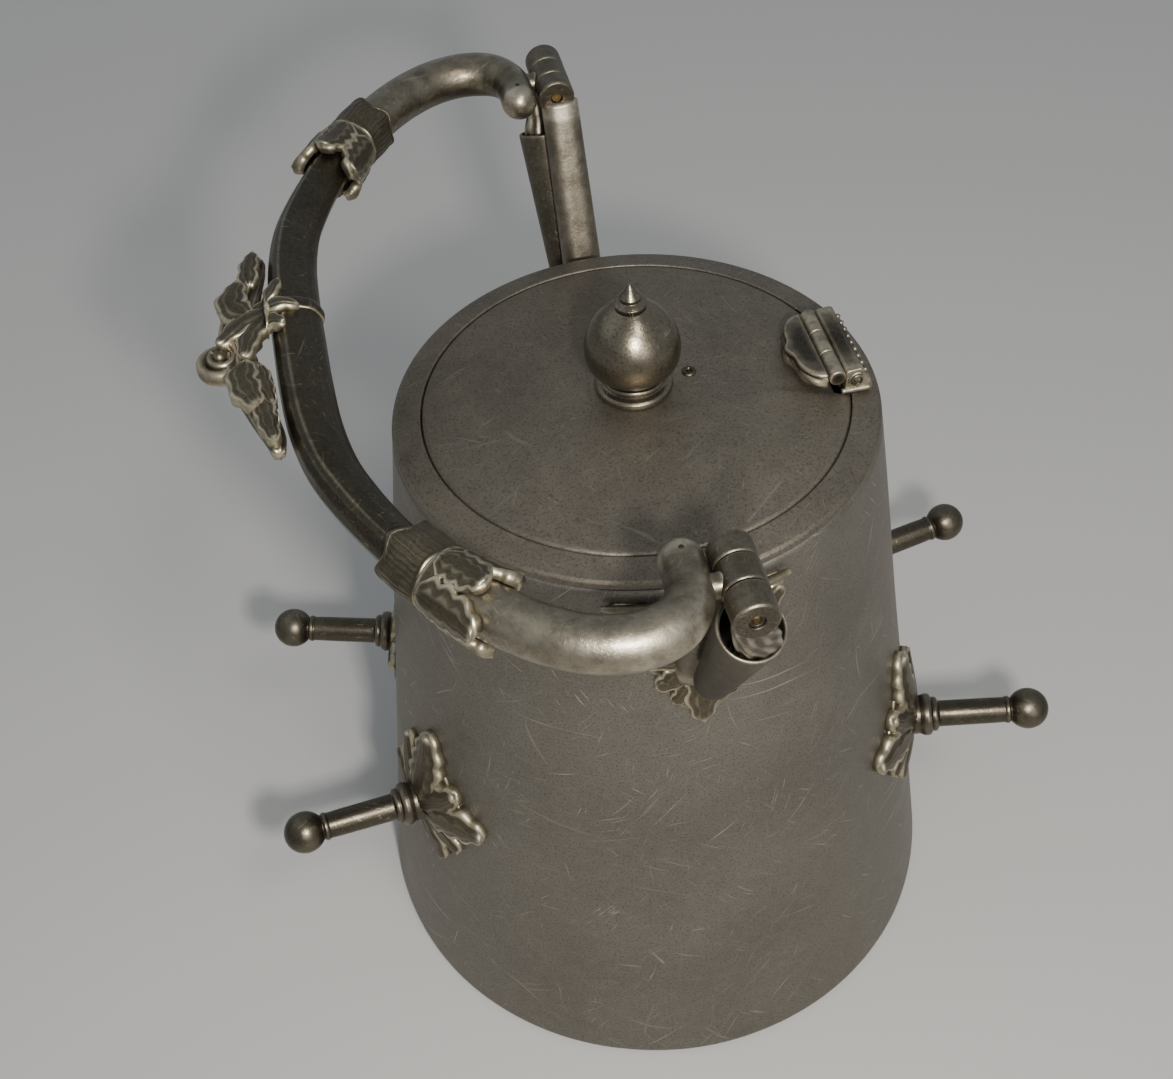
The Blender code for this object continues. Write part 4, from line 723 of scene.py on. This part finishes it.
pegs = (("front_right", -1.0, 0.0), ("back_right", 1.0, 0.0), ("back_left", -1.0, math.pi),
        ("front_left", 1.0, math.pi))
for label, side, half_turn in pegs:
    azimuth = PEG_TURN + half_turn + side * PEG_ROOT
    aim = PEG_TURN + half_turn + side * PEG_AIM
    root = np.array([wall_r(PEG_Z) * math.cos(azimuth), wall_r(PEG_Z) * math.sin(azimuth), PEG_Z])
    along = (Matrix.Translation(root) @ Matrix.Rotation(aim, 4, 'Z')
             @ Matrix.Rotation(math.pi / 2 - PEG_TILT, 4, 'Y'))
    build("peg_" + label + "_turned", [lathe(peg_line(), 72, along)], turned, "can", ["peg_" + label])
    parts = []
    for spine, half, rise, curl, lobes in PEG_LEAVES:
        p = leaf(np.array(spine) * MM, half * MM, rise * MM, curl * MM, lobes, base=0.1 * MM)
        p[..., 0] *= side
        parts.append(shell(on_wall(p, azimuth, PEG_Z)))
    p = plate(PEG_PLATE, 1.0 * MM, 5.2 * MM)
    p[..., 0] *= side
    parts.append(shell(on_wall(p, azimuth, PEG_Z)))
    build("leaf_mount_" + label, parts, casting, "can", ["peg_leaf_" + label])

# ------------------------------------------------------------------ posts, sockets and pivots
POST_Z = 169.5 * MM
KNUCKLE = 5.2 * MM
ENDS = [90.6 * MM, 97.1 * MM, 104.9 * MM, 112.8 * MM]     # inner, swinging and outer knuckles' faces
PIVOT_LINE = Matrix.Translation((PIVOT[0], 0, PIVOT[2])) @ Matrix.Rotation(-math.pi / 2, 4, 'X')


def knuckle(y0, y1, radius=KNUCKLE, hole=None, outer=1.0, columns=72):
    """Knuckle about the pivot line: a lathe profile along Y with rounded rims.

    hole sinks a pin seat into the end that faces outer.
    """
    lo, hi = min(y0, y1), max(y0, y1)
    tail = [(radius, lo + 0.35 * MM), (radius - 0.3 * MM, lo), (0.0, lo)]
    if hole:
        line = [(0.0, hi - 0.9 * MM), (hole - 0.05 * MM, hi - 0.9 * MM), (hole, hi - 0.1 * MM),
                (hole + 0.25 * MM, hi + 0.04 * MM), (radius - 0.45 * MM, hi), (radius, hi - 0.45 * MM), *tail]
    else:
        line = [(0.0, hi), (radius - 0.3 * MM, hi), (radius, hi - 0.35 * MM), *tail]
    profile = axis_line(line, 0.22 * MM, 0.14 * MM)
    if outer < 0:
        profile = np.stack([profile[:, 0], lo + hi - profile[:, 1]], -1)
    return lathe(profile, columns, PIVOT_LINE)


def turned_half(points, side):
    """Front copy of a back piece: half a turn about the body axis."""
    return points if side > 0 else points * [-1.0, -1.0, 1.0]


def off_wall(points):
    """Pushes points out from the axis to half the sheet's thickness inside the wall's outer face."""
    r = np.linalg.norm(points[..., :2], axis=-1)
    least = wall_r(np.minimum(points[..., 2], TOP)) - 0.5 * WALL
    grow = np.maximum(1.0, least / np.maximum(r, 1e-6))
    return points * np.stack([grow, grow, np.ones_like(grow)], -1)


for side, label in ((-1.0, "front"), (1.0, "back")):
    # upright, a flattened bar with a raised spine on its outer face and a swelling foot
    foot = np.array([1.4, 68.2, TOP / MM - 29.0]) * MM
    head = np.array([0.9, 92.6, PIVOT[2] / MM - 2.2]) * MM
    path = through([foot, foot * 0.5 + head * 0.5, head], 60)
    s = np.linspace(0, 1, 60)[:, None]
    a = circle(56)[None, :]
    wide = (6.0 - 0.7 * s + 0.5 * np.exp(-s / 0.08)) * MM
    deep = (4.4 - 0.4 * s + 0.5 * np.exp(-s / 0.08)) * MM
    c, d = np.cos(a), np.sin(a)
    section = np.stack([wide * np.sign(c) * np.abs(c) ** 0.75,
                        deep * np.sign(d) * np.abs(d) ** 0.85 * (1 - 0.10 * np.abs(c) ** 3)
                        + 0.5 * MM * np.exp(-(c / 0.16) ** 2) * (d > 0)], -1)
    v, q, t3, uv = carried(path, section, np.array([0.0, 1.0, 0.0]))
    arm = (turned_half(off_wall(v), side), q, t3, uv)
    inner_knuckle = knuckle(side * ENDS[0], side * (ENDS[1] - 0.1 * MM), hole=1.55 * MM, outer=-side)
    build("upright_" + label, [arm, inner_knuckle], post_cast_and_shade, "can", ["post_arm_" + label])

    # socket, a tapering tube along the upright; its rim is rounded and its bore runs down into shadow
    lean = math.atan2(23.7, (PIVOT[2] - TOP) / MM + 25.14)
    length = 44.0 * MM
    mouth = 8.0 * MM
    narrow = 3.2 * MM / length
    mouth_out = 68.6 * MM + 50.0 * MM * math.tan(lean) + 12.5 * MM / math.cos(lean)
    tube_line = rounded([(mouth - 1.05 * MM, -1.0 * MM), (mouth - 0.9 * MM, 0.1 * MM),
                         (mouth - 0.35 * MM, 0.3 * MM), (mouth + 0.05 * MM, 0.05 * MM),
                         (mouth, -1.2 * MM), (4.8 * MM, -length),
                         (3.7 * MM, -length), (mouth - 1.2 * MM, -1.6 * MM)], 0.25 * MM, 0.2 * MM)
    mouth_at = np.array([-2.6 * MM, mouth_out, TOP + 22.0 * MM])
    toe = math.radians(-5.2) if side < 0 else 0.0
    tip = (Matrix.Translation(mouth_at) @ Matrix.Rotation(toe, 4, 'Y')
           @ Matrix.Rotation(-lean - narrow, 4, 'X'))
    v, q, t3, uv = lathe(tube_line, 96, tip)
    tube = (turned_half(v, side), q, t3, uv)
    # web of rough metal that fills most of the mouth and climbs to the outer knuckle
    web_path = through([mouth_at + np.array([-1.0, -4.0, -12.0]) * MM,
                        mouth_at + np.array([-1.0, 2.5, -2.0]) * MM,
                        (-1.2 * MM, 106.6 * MM, PIVOT[2] - 10.9 * MM),
                        (0.0, 108.9 * MM, PIVOT[2] - 2.6 * MM)], 40)
    s = np.linspace(0, 1, 40)[:, None]
    lumpy = 1.0 + 0.03 * np.sin(7 * a + 9 * s) + 0.03 * np.sin(11 * a - 23 * s)
    section = np.stack([(5.6 - 1.2 * s) * MM * np.cos(a) * lumpy,
                        (4.2 - 1.3 * s) * MM * np.sin(a) * lumpy], -1)
    v, q, t3, uv = carried(web_path, section, np.array([0.0, 1.0, 0.0]))
    web = (turned_half(v, side), q, t3, uv)
    build("socket_" + label, [tube, web, knuckle(side * (ENDS[2] + 0.15 * MM), side * ENDS[3], hole=1.9 * MM,
                                                 outer=side)],
          post_cast_and_shade, "can", ["socket_tube_" + label])

    # peened pin whose head shows in the sunk end
    y0, y1 = side * (ENDS[0] + 0.8 * MM), side * (ENDS[3] - 0.55 * MM)
    head_line = axis_line([(0.0, abs(y1)), (0.7 * MM, abs(y1) - 0.05 * MM), (1.4 * MM, abs(y1) - 0.5 * MM),
                           (1.45 * MM, abs(y0)), (0.0, abs(y0))], 0.15 * MM, 0.1 * MM)
    head_line[:, 1] *= side
    build("pivot_" + label, [lathe(head_line, 40, PIVOT_LINE)], pin, "can", ["pivot_pin_" + label])

    # leaf mount under the post: a hanging spray of leaves below a straight thick lip
    azimuth = side * math.pi / 2
    parts = []
    sprays = [
        ([(0, 6, 1.6), (0, -4, 2.0), (-0.6, -13, 1.7), (-0.8, -21.5, 1.2)], 5.2, 1.6, 0.7, 4),
        ([(4, 8, 1.8), (10, 8, 1.7), (16, 11, 1.4), (22, 15.5, 1.2)], 4.8, 1.4, 0.9, 4),
        ([(4, 4, 1.9), (9, 2, 1.7), (13, 3, 1.4), (17.5, 6, 1.2)], 4.4, 1.4, 0.8, 3),
        ([(3, 1, 1.9), (6, -4, 1.6), (9, -6.5, 1.3), (12.2, -7.5, 1.1)], 3.9, 1.3, 0.8, 3),
        ([(2, -3, 1.8), (4, -9, 1.5), (6, -12, 1.2), (8.2, -13.8, 1.0)], 3.2, 1.2, 0.7, 3),
    ]
    for spine, half, rise, curl, lobes in sprays:
        for hand in ((1.0,) if abs(spine[0][0]) < 1 else (1.0, -1.0)):
            p = leaf(np.array(spine) * MM, half * MM, rise * MM, curl * MM, lobes, base=0.1 * MM, rows=48,
                     cols=29)
            p[..., 0] *= hand
            parts.append(shell(on_wall(p, azimuth, POST_Z)))
    back_plate = plate([(0, 18.0), (30, 20.5), (52, 29.0), (72, 19), (95, 14.5), (118, 12), (140, 12.5),
                        (165, 18), (180, 21), (195, 18), (220, 12.5), (242, 12), (265, 14.5), (288, 19), (308, 29.0),
                        (330, 20.5)], 0.8 * MM, 1.2 * MM)
    parts.append(shell(on_wall(back_plate, azimuth, POST_Z)))
    lip = through([(-24.6, 18.4, 1.7), (-12, 18.6, 2.0), (0, 18.7, 2.1), (12, 18.6, 2.0),
                   (24.6, 18.4, 1.7)], 70) * MM
    k = np.linspace(-1, 1, 70)[:, None]
    thick = 1.15 * MM * (1.0 - 0.55 * np.abs(k) ** 6)
    a2 = circle(28)[None, :]
    lip_points = lip[:, None, :] + np.stack([0 * a2 * k, thick * np.cos(a2), thick * 1.25 * np.sin(a2)], -1)
    parts.append(shell(on_wall(lip_points, azimuth, POST_Z)))
    build("leaf_mount_post_" + label, parts, casting, "can", ["post_leaf_" + label])

# ------------------------------------------------------------------ swing handle
HANDLE = [(10.8, 92.0), (10.8, 97.5), (12.0, 103.8), (16.6, 109.2), (24.5, 111.3), (33.5, 109.6), (42.0, 104.8),
          (49.3, 98.4), (55.4, 91.4), (60.8, 84.0), (65.8, 76.0), (70.5, 67.0), (75.2, 56.5), (79.2, 45.0),
          (81.6, 31.0), (82.4, 15.5), (82.5, 0.0)]
line = np.array([(-x, y, 0.0) for x, y in HANDLE] + [(-x, -y, 0.0) for x, y in HANDLE[-2::-1]]) * MM
centre = through(line, 1201)
run = np.concatenate([[0.0], np.cumsum(np.linalg.norm(np.diff(centre, axis=0), axis=1))])
HALF = run[-1] / 2
UP = np.array([0.0, 0.0, 1.0])


def on_handle(d):
    """Points of the handle's centre line at distances d from its middle, + towards the back."""
    want = HALF - np.asarray(d, float)
    return np.stack([np.interp(want, run, centre[:, k]) for k in range(3)], -1) + PIVOT * [1, 0, 1]


def handle_frame(d):
    """Centre and outward side vectors at distances d: side is tangent x up, away from the can."""
    d = np.asarray(d, float)
    tangent = unit(on_handle(d - 0.2 * MM) - on_handle(d + 0.2 * MM))
    return on_handle(d), np.cross(tangent, UP)


def around_handle(d, r, a):
    """Points about the centre line at distances d: centre + r (side cos a + up sin a)."""
    p, side = handle_frame(d)
    return p + side * (r * np.cos(a))[..., None] + UP * (r * np.sin(a))[..., None]


def round_handle(d, section):
    """Sections (rows x columns x 2) set on the centre line at d: centre + side u + up v."""
    p, side = handle_frame(d)
    return p[:, None] + side[:, None] * section[..., :1] + UP * section[..., 1:]


GRIP = 84.0 * MM            # half the grip's length along its line
TUBE_R = 6.2 * MM           # the bent tubes
# grip section, half of it: outer edge, ridge, long inner slope, narrow inner facet; mirrored below
half_grip = [(6.5, 0.0), (5.9, 2.6), (4.3, 4.9), (2.7, 5.95), (1.6, 5.85), (-1.2, 5.35), (-3.9, 4.2),
             (-5.0, 3.2), (-5.9, 1.7), (-6.5, 0.0)]
loop = np.array(half_grip + [(x, -y) for x, y in half_grip[-2:0:-1]])
loop = rounded(np.concatenate([loop, loop[:1]]), 0.42, 0.12)
turns_round = np.concatenate([[0.0], np.cumsum(np.linalg.norm(np.diff(loop, axis=0), axis=1))])
grip_columns = 120
spread = np.arange(grip_columns) / grip_columns * turns_round[-1]
grip_loop = np.stack([np.interp(spread, turns_round, loop[:, k]) for k in range(2)], -1)
round_loop = 6.1 * np.stack([np.cos(circle(grip_columns)), np.sin(circle(grip_columns))], -1)


def grip_scale(s):
    """Size of the grip along its half length: full in the middle, slimmer towards the sleeves."""
    return 1.0 - 0.20 * np.abs(s) ** 2.2


s = np.linspace(-1.03, 1.03, 181)
melt = ease((np.abs(s) - 0.80) / 0.22)[:, None, None]
section = (grip_loop[None] * (1 - melt) + round_loop[None] * 1.12 * melt) * grip_scale(s)[:, None, None] * MM
build("grip", [shell(round_handle(s * GRIP, section))], grip_cast, "handle", ["handle_grip"])

for side, label in ((-1.0, "front"), (1.0, "back")):
    stop = HALF - 0.5 * MM
    d = np.linspace(GRIP - 3 * MM, stop, 110)
    radius = TUBE_R - 1.1 * MM * ease((d - HALF + 24 * MM) / (20 * MM))
    b = np.linspace(0, math.pi / 2, 12)[1:]
    end_p, end_side = handle_frame(np.array([side * stop]))
    onward = unit(on_handle(side * stop) - on_handle(side * (stop - 0.5 * MM)))
    a = circle(56)
    tube = round_handle(side * d, round_section(radius, 56))
    cap = np.stack([end_p[0] + onward * radius[-1] * math.sin(x)
                    + (end_side * np.cos(a)[:, None] + UP * np.sin(a)[:, None]) * radius[-1] * max(math.cos(x), 1e-4)
                    for x in b])
    tube = np.concatenate([tube, cap])
    lug = np.stack([np.linspace(PIVOT[0] - 11.2 * MM, PIVOT[0] - 3 * MM, 20),
                    np.full(20, side * (ENDS[1] + ENDS[2]) / 2), np.full(20, PIVOT[2])], -1)
    flare = 2.9 * MM + 0.9 * MM * np.linspace(-1, 1, 20) ** 4
    build("tube_" + label, [shell(tube), carried(lug, round_section(flare, 40), UP),
                            knuckle(side * (ENDS[1] + 0.15 * MM), side * (ENDS[2] - 0.15 * MM))],
          smooth, "handle", ["handle_end_" + label])
    # small vent drilled in the top of the tube's round end; its bore is a disc of painted shade
    spot, _ = handle_frame(np.array([side * (stop - 0.5 * MM)]))
    drill = Matrix.Translation(spot[0] + UP * (radius[-1] - 0.02 * MM))
    bore = np.array([(0.0, 0.06), (0.6, 0.06), (0.6, -0.5), (0.0, -0.5)]) * MM
    build("tube_vent_" + label, [lathe(bore, 24, drill)], bore_shade, "handle")

# sleeves: a chased cuff, then leaves that lap along the handle
for side, label, cuff_from, lap in ((1.0, "back", 89.0, -1.0), (-1.0, "front", 76.5, 1.0)):
    start, stop = cuff_from * MM, (cuff_from + 12.5) * MM
    seam = start if lap < 0 else stop
    n, m = 150, 220
    t = np.linspace(0, 1, n)[:, None]
    a = circle(m)[None, :]
    scallop = 1.6 * MM * (0.5 - 0.5 * np.cos(5 * a)) ** 0.7
    d = start + (stop - start) * t + scallop * ((1 - t) if lap > 0 else -t)
    rim = np.exp(-((t - 0.05) / 0.035) ** 2) + np.exp(-((t - 0.95) / 0.035) ** 2)
    # fine ridges along the sleeve that waver as they go, like combed hair
    weave = np.cos(36 * a + 0.6 * np.sin(TAU * 2.2 * t + 3 * a) + 0.5 * np.sin(TAU * 1.3 * t + 2 * a))
    weave = weave * ease((0.5 - np.abs(t - 0.5) - 0.07) * 14)
    r = (7.5 + 0.35 * rim + 0.08 * weave + 0.45 * np.sin(math.pi * t) + 0.22 * np.cos(5 * a)) * MM
    outside = around_handle(side * d, r, a)
    inside = around_handle(side * d[[-1, 0]], np.full((2, 1), TUBE_R + 0.05 * MM), a)
    ringed = np.concatenate([outside, inside, outside[:1]])
    build("cuff_chased_" + label, [shell(ringed, True, False)], casting, "handle", ["cuff_" + label])

    parts = []
    leaf_angles = (20, 92, 160, 232, 300)
    for k, degrees in enumerate(leaf_angles):
        turn = math.radians(degrees)
        size = 1.0 if k % 2 == 0 else 0.85
        spine = [(0, 0.5, 0.9), (0.3, 6, 1.5), (0.1, 11.5 * size, 1.7), (-0.5, 16.5 * size, 2.6)]
        p = leaf(np.array(spine) * MM, 4.9 * MM * size, 1.1 * MM, 0.7 * MM, 4, base=0.05 * MM, rows=52, cols=29)
        parts.append(shell(around_handle(side * (seam + lap * (0.2 * MM + p[..., 1])), 6.45 * MM + p[..., 2],
                                         turn + p[..., 0] / (6.6 * MM))))
    t = np.linspace(0, 1, 30)[:, None]
    d = seam + lap * (t[:, 0] * 8.0) * MM
    r = (7.9 - 0.9 * t ** 2 + 0.12 * np.cos(10 * a)) * MM
    sleeve_out = round_handle(side * d, polar(r, a))
    sleeve_in = round_handle(side * d[::-1][[0, -1]], polar(np.full((2, 1), TUBE_R), a))
    parts.append(shell(np.concatenate([sleeve_out, sleeve_in, sleeve_out[:1]]), True, False))
    build("cuff_leaves_" + label, parts, casting, "handle", ["cuff_leaf_" + label])

# ------------------------------------------------------------------ scroll and sprigs on the grip
EDGE = on_handle(0.0)[0] - 6.5 * MM - GAP        # clear of the grip's outer side


def beside(out, along, up=0.0):
    """Point outside the grip: out from its outer side, along the pivot direction, up."""
    return np.array([EDGE - out * MM, along * MM, PIVOT[2] + up * MM])


def fluted(knots, flutes=7, depth=0.10, twist=0.8, columns=60, rows=90):
    """Scroll stem: circles of the knots' radii with rounded flutes that turn as they go."""
    k = through([(*beside(o, y, z), r) for o, y, z, r in knots], rows)
    a = circle(columns)[None, :]
    s = np.linspace(0, 1, rows)[:, None]
    r = k[:, 3:4] * MM * (1 + depth * np.cos(flutes * a + twist * TAU * s))
    return carried(k[:, :3], polar(r, a), UP)


scroll = [
    fluted([(7.0, -3, 0, 3.2), (8.6, 4, 0, 4.0), (7.4, 11, 0, 4.4), (5.6, 19, 0, 3.6), (3.2, 27, 0, 2.7),
            (1.4, 34, 0, 2.3), (0.9, 37.6, 0, 1.4)]),
    fluted([(8.4, 0, 0, 3.0), (8.0, -7, 0, 3.6), (5.8, -15, 0, 3.6), (4.0, -23, 0, 3.1), (1.8, -32, 0, 2.4),
            (1.4, -37, 0, 1.5)]),
]
t = np.linspace(0, 1, 110)[:, None]
spin = math.radians(-150) + t * TAU * 1.55
wind = (5.2 - 3.7 * t) * MM
volute = np.concatenate([EDGE - 12.4 * MM - wind * np.cos(spin), -2.0 * MM + wind * np.sin(spin),
                         PIVOT[2] + (0.6 + 2.2 * t ** 2) * MM], 1)
a = circle(36)[None, :]
vr = (2.15 - 0.8 * t) * MM * (1 + 0.12 * np.cos(3 * a))
scroll.append(carried(volute, polar(vr, a), UP))


def bead(out, along, up, radius, squash=1.0):
    """Small rounded boss: a sphere, flattened by squash."""
    b = np.linspace(0, math.pi, 26)
    profile = np.stack([radius * MM * np.sin(b), radius * MM * squash * np.cos(b)], -1)
    profile[[0, -1], 0] = 0.0
    return lathe(profile, 36, Matrix.Translation(beside(out, along, up)))


scroll += [bead(12.4, -2.0, 3.0, 1.6), bead(5.4, -8.0, 1.4, 3.3, 0.8)]


def sprig(root, bend, tip, half, rise, lobes=3, up_root=0.0):
    """Leaf laid over the ornament: the acanthus leaf in plan, lifted over the grip's rounded top."""
    p = leaf(np.array([(*root, 0.8), (*bend, 1.3), (*tip, 1.0)]) * MM, half * MM, rise * MM, 0.5 * MM, lobes,
             base=-0.9 * MM, rows=44, cols=25)
    out, along = p[..., 0], p[..., 1]
    over = np.clip(-out, 0, 13 * MM) / (13 * MM)
    ground = (2.6 + 3.6 * np.sin(math.pi * np.clip(over * 1.05 + 0.12, 0, 1)) ** 0.8) * MM + up_root * MM
    ground = np.where(out > 0, (2.6 + 0.3) * MM * np.clip(1 - out / (26 * MM), 0.2, 1) + up_root * MM, ground)
    return shell(np.stack([EDGE - out, along, PIVOT[2] + ground + p[..., 2]], -1))


scroll += [
    sprig((6, 9), (1, 10), (-8.5, 8.5), 2.2, 0.9), sprig((4, 10.5), (-1, 14), (-4.5, 18.5), 2.3, 0.9),
    sprig((5, 7), (0, 5), (-4.5, 1.5), 2.2, 0.9), sprig((-1, 9.5), (6, 6.5), (12.5, 1), 3.2, 1.3, 3, 1.2),
    sprig((0, 8), (4.5, 1), (6.5, -6), 3.2, 1.4, 3, 0.9), sprig((4, 9), (8.2, 15), (6.0, 24), 4.4, 1.4, 3, 0.9),
    sprig((3.4, 23), (3.2, 29), (1.4, 36), 2.8, 1.1), sprig((6, -7), (7.4, -14), (4.4, -24), 4.2, 1.5, 3, 0.6),
    sprig((3.6, -21), (2.6, -29), (1.4, -36.5), 2.8, 1.2), sprig((3, -9), (2.2, -17), (0.8, -24), 2.2, 1.2),
]
build("grip_ornament", scroll, casting, "handle", ["grip_scroll"])

n = 24
t = np.linspace(-1, 1, n)
proud = 0.55 * MM * (1 - t ** 2) ** 0.5 + 0.15 * MM
ring_loop = grip_loop[None] * MM * (1.0 + (proud / TUBE_R)[:, None, None])
inner_loop = np.repeat(grip_loop[None] * MM * 0.97, 2, 0)
band_d = 11.0 * MM + 2.1 * MM * t
band = np.concatenate([round_handle(band_d, ring_loop), round_handle(band_d[::-1][[0, -1]], inner_loop)])
build("grip_tie", [shell(np.concatenate([band, band[:1]]), True, False)], grip_cast, "handle", ["grip_band"])

# ------------------------------------------------------------------ floor, light and camera
floor_mat = bpy.data.materials.new("matt_backdrop_paper")
floor_mat.use_nodes = True
paper = floor_mat.node_tree.nodes["Principled BSDF"]
paper.inputs["Base Color"].default_value = linear("#b9b6b0")
paper.inputs["Roughness"].default_value = 0.9
floor_mesh = bpy.data.meshes.new("backdrop")
bm = bmesh.new()
bmesh.ops.create_grid(bm, x_segments=1, y_segments=1, size=6.0)
bmesh.ops.translate(bm, vec=(0, 0, -0.0003), verts=bm.verts)
bm.to_mesh(floor_mesh)
bm.free()
floor = bpy.data.objects.new("backdrop", floor_mesh)
bpy.context.scene.collection.objects.link(floor)
floor_mesh.materials.append(floor_mat)

ELEVATION = math.radians(46.53)
AZIMUTH = math.radians(-9.0)
ROLL = math.radians(-4.55)
back_dir = Vector((math.sin(AZIMUTH) * math.cos(ELEVATION), -math.cos(AZIMUTH) * math.cos(ELEVATION),
                   math.sin(ELEVATION)))
right0 = Vector((math.cos(AZIMUTH), math.sin(AZIMUTH), 0.0))
up0 = back_dir.cross(right0)
cam_x = right0 * math.cos(ROLL) + up0 * math.sin(ROLL)
cam_y = up0 * math.cos(ROLL) - right0 * math.sin(ROLL)
AIM_LEFT, AIM_HEIGHT, DISTANCE = 14.8 * MM, 145.3 * MM, 0.466
aim = Vector((-AIM_LEFT * math.cos(AZIMUTH), -AIM_LEFT * math.sin(AZIMUTH), AIM_HEIGHT))
camera_data = bpy.data.cameras.new("camera")
camera_data.sensor_width = 36.0
camera_data.lens = 49.63
camera_data.shift_x = -0.0025
camera_data.shift_y = -0.0064
camera_data.clip_start = 0.01
camera = bpy.data.objects.new("camera", camera_data)
eye = aim + back_dir * DISTANCE
turn = Matrix((cam_x, cam_y, back_dir)).transposed().to_4x4()
camera.matrix_world = Matrix.Translation(eye) @ turn
bpy.context.scene.collection.objects.link(camera)
bpy.context.scene.camera = camera


def lamp(name, place, target, power, size, colour=(1.0, 1.0, 1.0)):
    """Square soft light at a place, facing a target."""
    data = bpy.data.lights.new(name, 'AREA')
    data.energy = power
    data.size = size
    data.color = colour
    obj = bpy.data.objects.new(name, data)
    obj.location = place
    obj.rotation_euler = (Vector(target) - Vector(place)).to_track_quat('-Z', 'Y').to_euler()
    bpy.context.scene.collection.objects.link(obj)
    return obj


lamp("key", eye + cam_x * 0.055 - cam_y * 0.035, aim, 2.4, 0.03, (1.0, 0.98, 0.96))
lamp("ceiling", (0.25, -0.75, 1.30), aim, 4.0, 0.22, (1.0, 0.97, 0.93))
lamp("sky_left", (-1.1, 0.5, 1.5), aim, 2.0, 1.5, (0.92, 0.96, 1.0))
lamp("front", (0.30, -1.3, 0.75), aim, 4.5, 0.9, (1.0, 0.98, 0.95))
world = bpy.data.worlds.new("soft_room")
world.use_nodes = True
world.node_tree.nodes["Background"].inputs["Color"].default_value = (0.76, 0.83, 0.92, 1.0)
world.node_tree.nodes["Background"].inputs["Strength"].default_value = 0.50
bpy.context.scene.world = world
